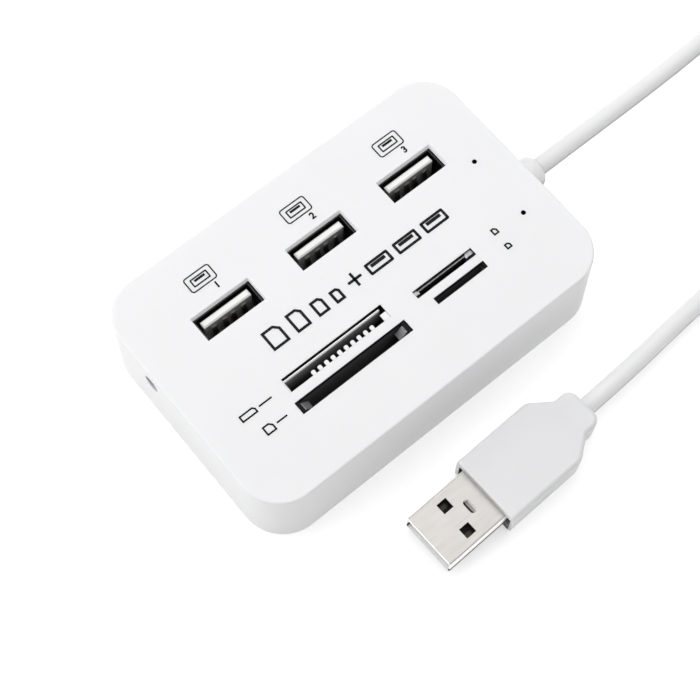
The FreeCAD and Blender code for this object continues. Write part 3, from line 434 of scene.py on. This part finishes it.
labels = bmesh.new()
thin_line = 0.34 * mm
label_clip = 0.35
leader_gaps = 1.2
for x, y, width, height, leader in ((-31.9, -8.35, 3.6, 1.5, 4.2), (-30.6, -12.9, 2.2, 2.0, 3.6),
                                    (27.3, -9.0, 1.3, 1.5, 0.0), (27.3, -12.9, 1.3, 1.3, 0.0)):
    ink_area(labels, card_sign(x * mm, y * mm, width * mm, height * mm, label_clip * height * mm), thin_line)
    if leader:
        leader_x = (x + width / 2 + leader / 2) * mm
        ink_area(labels, rounded(leader_x, y * mm, (leader - leader_gaps) * mm, thin_line, ink_corner))
slot_signs = ink_piece("slot_signs", labels)
for piece in (port_marks, port_numbers, middle_signs, slot_signs):
    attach(piece, "root")


# Circuit board: green varnished glass fibre with copper tracks showing faintly under the varnish,
# carried by four screws. It is shut in the case and seen only when that is opened.
varnish = finish("board_varnish", skin, 0.01 * mm,
                 {"Tone": (0.006, 0.045, 0.018, 1), "Shade": (0.010, 0.065, 0.028, 1), "Grain": 900.0,
                  "Drift": 700.0, "Smooth": 0.22, "Rough": 0.38})
dress(varnish, "circuit_board")


# Screws and legs: small zinc-plated pieces that hold the board down and the lights up. Rolling and
# drawing leave fine lines along the metal, so its gloss is drawn out one way.
sheet, sheet_in, sheet_out = shader_group(
    "drawn_sheet",
    [("Tone", COLOUR, white), ("Shade", COLOUR, white), ("Lines", DIRECTION, (1.0, 1.0, 1.0)),
     ("Smooth", NUMBER, 0.2), ("Rough", NUMBER, 0.35)],
    [("Color", COLOUR), ("Roughness", NUMBER), ("Height", NUMBER)])
sheet_place = sheet.nodes.new("ShaderNodeTexCoord")
sheet_stretch = sheet.nodes.new("ShaderNodeVectorMath")
sheet_stretch.operation = "MULTIPLY"
sheet_lines = sheet.nodes.new("ShaderNodeTexNoise")
sheet_lines.inputs["Scale"].default_value = 1.0
sheet_lines.inputs["Detail"].default_value = 3.0
sheet.links.new(sheet_place.outputs["Object"], sheet_stretch.inputs[0])
sheet.links.new(sheet_in.outputs["Lines"], sheet_stretch.inputs[1])
sheet.links.new(sheet_stretch.outputs["Vector"], sheet_lines.inputs["Vector"])
sheet_relief = sheet_lines.outputs["Fac"]
sheet_tone = lay_over(sheet, sheet_relief, sheet_in.outputs["Tone"], sheet_in.outputs["Shade"])
sheet_gloss = fade(sheet, sheet_relief, noise_low, noise_high,
                   sheet_in.outputs["Smooth"], sheet_in.outputs["Rough"])
for value, label in ((sheet_tone, "Color"), (sheet_gloss, "Roughness"), (sheet_relief, "Height")):
    sheet.links.new(value, sheet_out.inputs[label])

zinc = finish("zinc_plate", sheet, 0.003 * mm,
              {"Tone": (0.52, 0.52, 0.54, 1), "Shade": (0.42, 0.42, 0.43, 1),
               "Lines": (1500.0, 1500.0, 300.0)}, metallic=1.0)
dress(zinc, "board_screws", "led_legs")


# Chips and small parts: black moulded chips, drawn metal cans and ceramic chip parts, soldered to
# the board between the sockets.
resin = finish("chip_resin", skin, 0.01 * mm,
               {"Tone": (0.018, 0.018, 0.02, 1), "Shade": (0.035, 0.035, 0.037, 1), "Grain": 5000.0,
                "Smooth": 0.45, "Rough": 0.65})
can_metal = finish("can_metal", sheet, 0.002 * mm,
                   {"Tone": (0.76, 0.76, 0.77, 1), "Shade": (0.66, 0.66, 0.68, 1),
                    "Lines": (400.0, 400.0, 2500.0)}, metallic=1.0)
ceramic = finish("tan_ceramic", skin, 0.01 * mm,
                 {"Tone": (0.40, 0.30, 0.19, 1), "Shade": (0.52, 0.43, 0.31, 1), "Grain": 4000.0,
                  "Drift": 500.0, "Smooth": 0.4, "Rough": 0.6})
dress(resin, "hub_chip", "reader_chip")
dress(can_metal, "crystals", "bulk_capacitor")
dress(ceramic, "chip_parts")


# Upright sockets: folded steel shells with leaf springs, white insulators whose tongue stands in
# the mouth, and four plated strips on the front of each tongue.
# Painted shade: the shells are near-black steel that darkens with depth, the tongues turn grey just below
# their tops, and the strips darken with depth.
shell_steel = finish("socket_steel", sheet, 0.004 * mm,
                     {"Tone": (0.07, 0.07, 0.072, 1), "Shade": (0.02, 0.02, 0.021, 1),
                      "Lines": (900.0, 900.0, 600.0), "Smooth": 0.22, "Rough": 0.4}, metallic=1.0,
                     shade={"Level": top_underside, "Depth": 6.0 * mm, "Dark": (0.01, 0.01, 0.011, 1)})
tongue_white = finish("tongue_white", skin, 0.006 * mm,
                      {"Tone": (0.84, 0.84, 0.83, 1), "Shade": (0.80, 0.80, 0.79, 1), "Grain": 4000.0,
                       "Smooth": 0.35, "Rough": 0.5},
                      shade={"Level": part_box("usb_port_1_insulator")[1].z - 0.15 * mm, "Depth": 0.6 * mm,
                             "Dark": (0.34, 0.34, 0.34, 1)})
plated = finish("plated_strip", sheet, 0.002 * mm,
                {"Tone": (0.50, 0.47, 0.41, 1), "Shade": (0.24, 0.22, 0.19, 1),
                 "Lines": (2000.0, 2000.0, 900.0), "Smooth": 0.3, "Rough": 0.45}, metallic=1.0,
                shade={"Level": top_level - 3.2 * mm, "Depth": 5.0 * mm, "Dark": (0.06, 0.055, 0.045, 1)})
ports = ["usb_port_%d" % number for number in (1, 2, 3)]
dress(shell_steel, *[port + "_shell" for port in ports])
dress(tongue_white, *[port + "_insulator" for port in ports])
strip_sheet = 0.22 * mm
strip_steps = 24
bow_height, bow_spread = 0.68, 0.13


def strip_shape(width, height, bow, facing):
    """A sprung strip about the middle of its foot, on the wall that it lies against."""
    strip = bmesh.new()
    rings = []
    for step in range(strip_steps + 1):
        level = step / strip_steps
        lift = bow * math.exp(-((level - bow_height) / bow_spread) ** 2)
        rings.append([strip.verts.new((side * width / 2, facing * (lift + depth), level * height))
                      for side, depth in ((-1, 0), (1, 0), (1, strip_sheet), (-1, strip_sheet))])
    for lower, upper in zip(rings, rings[1:]):
        for corner in range(4):
            following = (corner + 1) % 4
            strip.faces.new((lower[corner], lower[following], upper[following], upper[corner]))
    strip.faces.new(rings[0])
    strip.faces.new(rings[-1])
    bmesh.ops.recalc_face_normals(strip, faces=strip.faces)
    return strip


def strip_piece(strip):
    """A piece made from the shape of one or more strips."""
    data = bpy.data.meshes.new("strip")
    strip.to_mesh(data)
    strip.free()
    data.materials.append(plated)
    piece = bpy.data.objects.new("strip", data)
    scene.collection.objects.link(piece)
    return piece


contact_low, contact_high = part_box("usb_port_1_contacts")
strip_width, strip_height = 1.0 * mm, contact_high.z - contact_low.z
strip_bow = contact_high.y - contact_low.y - strip_sheet
four_strips = bmesh.new()
for spacing in (-3.5 * mm, -1.0 * mm, 1.0 * mm, 3.5 * mm):
    one = strip_shape(strip_width, strip_height, strip_bow, -1)
    bmesh.ops.translate(one, vec=(spacing, 0, 0), verts=one.verts)
    flat = bpy.data.meshes.new("strip")
    one.to_mesh(flat)
    one.free()
    four_strips.from_mesh(flat)
first_strips = ((contact_low.x + contact_high.x) / 2, contact_high.y, contact_low.z)
port_strips = row_of("port_strips", strip_piece(four_strips), 3, first_strips, (port_step, 0, 0), plated)
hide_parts(*[port + "_contacts" for port in ports])
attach(port_strips, "root")


# Card sockets: black mouldings whose mouths fill the slots in the top, apart from the stick card's,
# which is white with a comb along its front. Rows of sprung strips stand on their front walls.
# Painted light and shade by depth: the black mouldings turn lighter grey down inside, as painted light,
# and the comb, the plate, the shield and the springs darken downwards, as painted shade.
socket_black = finish("socket_black", skin, 0.006 * mm,
                      {"Tone": (0.004, 0.004, 0.005, 1), "Shade": (0.008, 0.008, 0.009, 1),
                       "Grain": 3500.0, "Smooth": 0.26, "Rough": 0.4}, Specular_IOR_Level=0.07,
                      shade={"Level": top_level - 0.7 * mm, "Depth": 0.6 * mm, "Dark": (0.17, 0.17, 0.18, 1)})
comb_white = finish("comb_white", skin, 0.006 * mm,
                    {"Tone": (0.82, 0.82, 0.82, 1), "Shade": (0.79, 0.79, 0.79, 1), "Grain": 4000.0,
                     "Smooth": 0.35, "Rough": 0.5},
                    shade={"Level": top_level - 0.15 * mm, "Depth": 0.4 * mm,
                           "Dark": (0.008, 0.008, 0.009, 1)})
plate_steel = finish("plate_steel", sheet, 0.003 * mm,
                     {"Tone": (0.88, 0.88, 0.88, 1), "Shade": (0.74, 0.74, 0.74, 1),
                      "Lines": (250.0, 3000.0, 3000.0), "Smooth": 0.34, "Rough": 0.5}, metallic=0.2,
                     shade={"Level": top_level - 0.6 * mm, "Depth": 8.0 * mm, "Dark": (0.10, 0.10, 0.10, 1)})
folded_steel = finish("folded_steel", sheet, 0.003 * mm,
                      {"Tone": (0.40, 0.40, 0.41, 1), "Shade": (0.24, 0.24, 0.25, 1),
                       "Lines": (900.0, 2500.0, 2500.0), "Smooth": 0.25, "Rough": 0.45}, metallic=0.8,
                      shade={"Level": top_level - 0.5 * mm, "Depth": 2.8 * mm,
                             "Dark": (0.012, 0.012, 0.012, 1)})
spring_steel = finish("spring_steel", sheet, 0.003 * mm,
                      {"Tone": (0.30, 0.30, 0.31, 1), "Shade": (0.20, 0.20, 0.21, 1),
                       "Lines": (900.0, 2500.0, 2500.0), "Smooth": 0.4, "Rough": 0.6}, metallic=0.4,
                      shade={"Level": top_level - 1.0 * mm, "Depth": 9.0 * mm, "Dark": (0.02, 0.02, 0.02, 1)})
dress(socket_black, "large_card_socket", "mini_card_socket", "micro_card_socket")
dress(comb_white, "stick_card_socket")
dress(plate_steel, "stick_card_plate")
dress(folded_steel, "mini_card_shield")
dress(spring_steel, "large_card_springs")
for card, count, width in (("large", 9, 1.2), ("stick", 10, 0.5), ("mini", 8, 0.6), ("micro", 8, 0.6)):
    low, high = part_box(card + "_card_contacts")
    strip = strip_piece(strip_shape(width * mm, high.z - low.z, high.y - low.y - strip_sheet, 1))
    pitch = (high.x - low.x - width * mm) / (count - 1)
    first_strip = (low.x + width * mm / 2, low.y, low.z)
    strips = row_of(card + "_card_strips", strip, count, first_strip, (pitch, 0, 0), plated)
    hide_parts(card + "_card_contacts")
    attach(strips, "root")


# Status lights: clear resin lights that stand under the two small holes in the top, on plain legs
# soldered to the board.
# Painted shade: the resin is near-black, so the lights show as dark dots down their holes.
clear_resin = finish("clear_resin", skin, 0.002 * mm,
                     {"Tone": (0.05, 0.055, 0.052, 1), "Shade": (0.04, 0.045, 0.042, 1), "Grain": 900.0,
                      "Smooth": 0.08, "Rough": 0.16}, Specular_IOR_Level=0.2)
dress(clear_resin, "status_leds")


# Power jack: a black moulded housing behind the hole in the left end, with a bright centre pin and
# a flat spring contact.
dress(resin, "dc_jack_housing")
dress(can_metal, "dc_jack_pin", "dc_jack_spring")


# Cable: a round white sheath, smooth and slightly soft. It leaves the case through a domed strain
# relief, and its spare length is wound into a tied coil to one side.
sheath = finish("white_sheath", skin, 0.006 * mm,
                {"Tone": (0.79, 0.79, 0.795, 1), "Shade": (0.77, 0.77, 0.775, 1), "Grain": 1800.0,
                 "Drift": 120.0, "Smooth": 0.42, "Rough": 0.56},
                Subsurface_Weight=0.6, Subsurface_Radius=(1, 1, 1), Subsurface_Scale=2.0 * mm)
sheath_tree = sheath.node_tree
sheath_face = split(sheath_tree, sheath_tree.nodes.new("ShaderNodeTexCoord").outputs["Normal"])
flank_start, flank_full = 0.45, 0.15
under_start, under_full = -0.5, -0.8
# Painted shade: the sheath's flanks, between its top and its underside, are painted a darker grey.
flank_painted_shade = sum_step(sheath_tree, "SUBTRACT",
                    fade(sheath_tree, sheath_face["Z"], flank_start, flank_full),
                    fade(sheath_tree, sheath_face["Z"], under_start, under_full))
paint(sheath, "Base Color", flank_painted_shade, (0.52, 0.52, 0.525, 1))
dress(sheath, "cable_grommet")
band_plastic = finish("tie_plastic", skin, 0.006 * mm,
                      {"Tone": (0.80, 0.80, 0.79, 1), "Shade": (0.74, 0.74, 0.73, 1), "Grain": 2500.0})
dress(band_plastic, "cable_tie")
cord_diameter = 3.8 * mm
cord_exit = Vector((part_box("cable_grommet")[1].x, -0.9 * mm, 9.5 * mm))
cord_lead = 11.0 * mm
outward_points = ((75.0, -0.8, 8.9), (92.0, -0.2, 7.9))
homeward_points = ((92.0, -42.7, 2.2), (75.0, -41.4, 1.95), (59.0, -41.2, 1.95), (45.0, -42.2, 2.4))
coil_middle = Vector((115.0, -21.3)) * mm
coil_radius = 19.5 * mm
coil_layer_turns = 1.75
coil_floor = 0.6 * mm
turn_points = 16
drop_points = 4
half_width = coil_layer_turns * cord_diameter / 2
low_level = coil_floor + cord_diameter / 2
high_level = low_level + cord_diameter
plug_tip = Vector((-19.4, -45.2, 3.9)) * mm
plug_yaw = math.radians(1.94)
plug_axis = Vector((math.cos(plug_yaw), math.sin(plug_yaw), 0))
plug_length = 40.7
plug_end = plug_tip + plug_axis * plug_length * mm

# The coil has two layers: the upper one winds in, drops at its middle, and the lower one winds out.
route = [cord_exit, cord_exit + Vector((cord_lead, 0, 0))] + [Vector(point) * mm for point in outward_points]
steps = round(2 * coil_layer_turns * turn_points)
for step in range(steps + 1):
    share = step / steps
    angle = math.radians(90) - 2 * math.pi * step / turn_points
    spread = abs(2 * share - 1)
    radius = (coil_radius - half_width + 2 * half_width * spread) / math.cos(math.pi / turn_points)
    drop = min(1.0, max(0.0, (share - 0.5) * steps / drop_points + 0.5))
    level = high_level + (low_level - high_level) * drop * drop * (3 - 2 * drop)
    route.append(Vector((coil_middle.x + radius * math.cos(angle),
                         coil_middle.y + radius * math.sin(angle), level)))
route += [Vector(point) * mm for point in homeward_points] + [plug_end + plug_axis * cord_lead, plug_end]
cable_line = bpy.data.curves.new("cable", "CURVE")
cable_line.dimensions = "3D"
cable_line.bevel_depth = cord_diameter / 2
cable_line.bevel_resolution = 6
cable_line.resolution_u = 8
cable_line.use_fill_caps = True
run = cable_line.splines.new("NURBS")
run.points.add(len(route) - 1)
for point, where in zip(run.points, route):
    point.co = (*where, 1.0)
run.order_u = 3
run.use_endpoint_u = True
cable_line.materials.append(sheath)
cable = bpy.data.objects.new("cable", cable_line)
scene.collection.objects.link(cable)
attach(cable, "root")
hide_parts("cable_run_out", "cable_coil", "cable_run_back")


# Wires: the cable's four cores in coloured insulation, stripped of the sheath inside the case and
# led from the strain relief to the board.
core_insulation = finish("core_insulation", skin, 0.004 * mm,
                         {"Tone": (0.55, 0.04, 0.03, 1), "Shade": (0.48, 0.03, 0.03, 1), "Grain": 3000.0})
dress(core_insulation, "cable_wires")


# Plug: a folded nickel-plated shell round a black insulator with four flat strips, and a white grip
# moulded over its back half and the cable's end. The grip's broad faces are flat and its sides round.
nickel = finish("nickel_plate", sheet, 0.003 * mm,
                {"Tone": (0.48, 0.468, 0.448, 1), "Shade": (0.465, 0.453, 0.435, 1),
                 "Lines": (250.0, 4000.0, 4000.0), "Smooth": 0.44, "Rough": 0.52}, metallic=1.0,
                Emission_Color=black, Emission_Strength=1.0)
nickel_tree = nickel.node_tree
nickel_place = nickel_tree.nodes.new("ShaderNodeTexCoord")
nickel_face = split(nickel_tree, nickel_place.outputs["Normal"])
nickel_spot = split(nickel_tree, nickel_place.outputs["Object"])


def along_plug(tree, spot, direction):
    """How far a point lies along a direction, from the plug's tip."""
    reach = tree.nodes.new("ShaderNodeVectorMath")
    reach.operation = "DOT_PRODUCT"
    reach.inputs[1].default_value = direction
    tree.links.new(spot, reach.inputs[0])
    return sum_step(tree, "SUBTRACT", reach.outputs["Value"], direction.dot(plug_tip))


# Painted highlight: the shell's turned edges and inner floor are painted near-white, with a faint glow.
# Painted shade: its lower sides and its dent are painted near-black.
plug_side = Vector((-plug_axis.y, plug_axis.x, 0))
plug_foot, plug_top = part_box("plug_shell")[0].z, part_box("plug_shell")[1].z
inner_floor = plug_foot + 1.0 * mm
shade_start, shade_full = plug_foot + 2.2 * mm, plug_foot + 1.6 * mm
flat_facing, turned_facing, lee_facing = 0.97, 0.7, 0.2
turned = fade(nickel_tree, nickel_face["Z"], flat_facing, turned_facing)
by_floor = sum_step(nickel_tree, "LESS_THAN", nickel_spot["Z"], inner_floor)
underneath = all_of(nickel_tree, fade(nickel_tree, nickel_face["Z"], -turned_facing, -flat_facing), by_floor)
sideways = sum_step(nickel_tree, "SUBTRACT", turned, underneath)
bright = sum_step(nickel_tree, "SUBTRACT", sum_step(nickel_tree, "MAXIMUM", turned, by_floor), underneath)
low_down = fade(nickel_tree, nickel_spot["Z"], shade_start, shade_full)
dent_setback, dent_half_length, dent_half_width = 10.4 * mm, 1.0 * mm, 1.8 * mm
dent_rim, dent_floor = plug_top - 0.05 * mm, plug_top - 0.3 * mm
dent_depth_share = 0.55
shell_back = along_plug(nickel_tree, nickel_place.outputs["Object"], plug_axis)
shell_aside = along_plug(nickel_tree, nickel_place.outputs["Object"], plug_side)
from_dent = sum_step(nickel_tree, "SUBTRACT", shell_back, dent_setback)
at_dent = all_of(nickel_tree, within(nickel_tree, from_dent, dent_half_length),
                 within(nickel_tree, shell_aside, dent_half_width))
in_dent = fade(nickel_tree, nickel_spot["Z"], dent_rim, dent_floor)
lee_wall = sum_step(nickel_tree, "GREATER_THAN", nickel_face["X"], lee_facing)
dent_depth = sum_step(nickel_tree, "MULTIPLY", in_dent, dent_depth_share)
dent_shade = all_of(nickel_tree, at_dent, sum_step(nickel_tree, "MAXIMUM", lee_wall, dent_depth))
dim = sum_step(nickel_tree, "MAXIMUM", all_of(nickel_tree, low_down, sideways), dent_shade)
for label, lit, unlit in (("Base Color", (0.97, 0.965, 0.955, 1), (0.05, 0.045, 0.04, 1)),
                          ("Emission Color", (0.14, 0.14, 0.137, 1), black)):
    paint(nickel, label, bright, lit)
    paint(nickel, label, dim, unlit)
dress(nickel, "plug_shell")

# Painted shade: the grip is near-black in the narrow recess on each side of the shell, where it meets the
# grip's mouth.
# Painted shade also covers the grip's front face just to the right of the shell.
grip_white = finish("grip_white", skin, 0.005 * mm,
                    {"Tone": (0.74, 0.74, 0.75, 1), "Shade": (0.715, 0.715, 0.725, 1), "Grain": 2600.0,
                     "Smooth": 0.36, "Rough": 0.48},
                    Subsurface_Weight=0.4, Subsurface_Radius=(1, 1, 1), Subsurface_Scale=1.2 * mm)
grip_tree = grip_white.node_tree
grip_place = grip_tree.nodes.new("ShaderNodeTexCoord")
grip_face = split(grip_tree, grip_place.outputs["Normal"])
grip_start = min(plug_axis.dot(corner.co - plug_tip) for corner in nodes["plug_overmold"].data.vertices)
recess_inner, recess_outer = 5.9 * mm, 7.1 * mm
recess_mouth, recess_end = grip_start + 0.05 * mm, grip_start + 2.7 * mm
grip_front = grip_start + 0.06 * mm
upright_facing = 0.5
grip_back = along_plug(grip_tree, grip_place.outputs["Object"], plug_axis)
grip_aside = along_plug(grip_tree, grip_place.outputs["Object"], plug_side)
grip_up = along_plug(grip_tree, grip_place.outputs["Object"], Vector((0, 0, 1)))
beside = between(grip_tree, sum_step(grip_tree, "ABSOLUTE", grip_aside), recess_inner, recess_outer)
below_top = sum_step(grip_tree, "LESS_THAN", grip_up, plug_top - plug_tip.z)
upright = within(grip_tree, grip_face["Z"], upright_facing)
in_recess = between(grip_tree, grip_back, recess_mouth, recess_end)
right_end = all_of(grip_tree, sum_step(grip_tree, "LESS_THAN", grip_aside, -recess_inner),
                   sum_step(grip_tree, "LESS_THAN", grip_back, grip_front))
recess_shade = all_of(grip_tree, beside, below_top, upright,
                      sum_step(grip_tree, "MAXIMUM", in_recess, right_end))
paint(grip_white, "Base Color", recess_shade, (0.012, 0.012, 0.012, 1))
dress(grip_white, "plug_overmold")

plug_core = finish("plug_core", skin, 0.006 * mm,
                   {"Tone": (0.005, 0.005, 0.006, 1), "Shade": (0.010, 0.010, 0.011, 1), "Grain": 4000.0,
                    "Smooth": 0.4, "Rough": 0.6}, Specular_IOR_Level=0.15)
dress(plug_core, "plug_insulator")
# Painted shade: the strips are near-black, so they show dark through the shell's windows.
plug_strip = finish("plug_strip", sheet, 0.002 * mm,
                    {"Tone": (0.03, 0.027, 0.02, 1), "Shade": (0.02, 0.018, 0.014, 1),
                     "Lines": (400.0, 3000.0, 3000.0)}, metallic=1.0)
dress(plug_strip, "plug_contacts")


# Studio: a plain pale floor with a soft glow of its own, large soft lights from behind, above, the
# left and the front, and the camera high over the front left corner of the case.
floor_reach = 3.0
floor_drop = 0.02 * mm
floor_mesh = bpy.data.meshes.new("floor")
floor_mesh.from_pydata([(-floor_reach, -floor_reach, 0), (floor_reach, -floor_reach, 0),
                        (floor_reach, floor_reach, 0), (-floor_reach, floor_reach, 0)], [], [(0, 1, 2, 3)])
floor = bpy.data.objects.new("floor", floor_mesh)
floor.location.z = -floor_drop
scene.collection.objects.link(floor)
floor_paper = finish("floor_paper", skin, 0.01 * mm,
                     {"Tone": (0.825, 0.825, 0.825, 1), "Shade": (0.815, 0.815, 0.815, 1), "Grain": 500.0,
                      "Drift": 3.0, "Smooth": 0.85, "Rough": 0.95}, Emission_Color=white)
glow_on_part, glow_seen = 0.27, 0.50
floor_tree = floor_paper.node_tree
floor_seen = floor_tree.nodes.new("ShaderNodeLightPath").outputs["Is Camera Ray"]
floor_tree.links.new(fade(floor_tree, floor_seen, 0.0, 1.0, glow_on_part, glow_seen),
                     floor_tree.nodes["Principled BSDF"].inputs["Emission Strength"])
paint(floor_paper, "Base Color", floor_seen, (0.69, 0.69, 0.69, 1))
floor_mesh.materials.append(floor_paper)


def soft_light(name, where, width, depth, power):
    """A large soft light that faces the case."""
    lamp = bpy.data.lights.new(name, "AREA")
    lamp.shape = "RECTANGLE"
    lamp.size = width
    lamp.size_y = depth
    lamp.energy = power
    holder = bpy.data.objects.new(name, lamp)
    holder.location = where
    holder.rotation_euler = (-Vector(where)).to_track_quat("-Z", "Y").to_euler()
    scene.collection.objects.link(holder)


soft_light("back_light", where=(-0.15, 0.55, 0.65), width=0.9, depth=0.6, power=1.2)
soft_light("top_light", where=(0.14, 0.16, 0.62), width=0.7, depth=0.7, power=2.8)
soft_light("left_light", where=(-0.7, 0.3, 0.35), width=0.5, depth=0.5, power=2.0)
soft_light("front_light", where=(0.2, -0.8, 0.38), width=0.6, depth=0.6, power=0.42)
world = bpy.data.worlds.new("studio")
world.use_nodes = True
world.node_tree.nodes["Background"].inputs["Color"].default_value = white
world.node_tree.nodes["Background"].inputs["Strength"].default_value = 0.40
scene.world = world
scene.view_settings.view_transform = "Standard"

lens = bpy.data.cameras.new("camera")
lens.lens = 77.93
lens.sensor_width = 36.0
lens.sensor_fit = "HORIZONTAL"
lens.clip_start = 0.01
camera = bpy.data.objects.new("camera", lens)
camera.location = Vector((-75.0, -90.04, 280.15)) * mm
aim = Vector((-4.82, -4.52, 0.0)) * mm
camera.rotation_euler = (aim - camera.location).to_track_quat("-Z", "Y").to_euler()
scene.collection.objects.link(camera)
scene.camera = camera
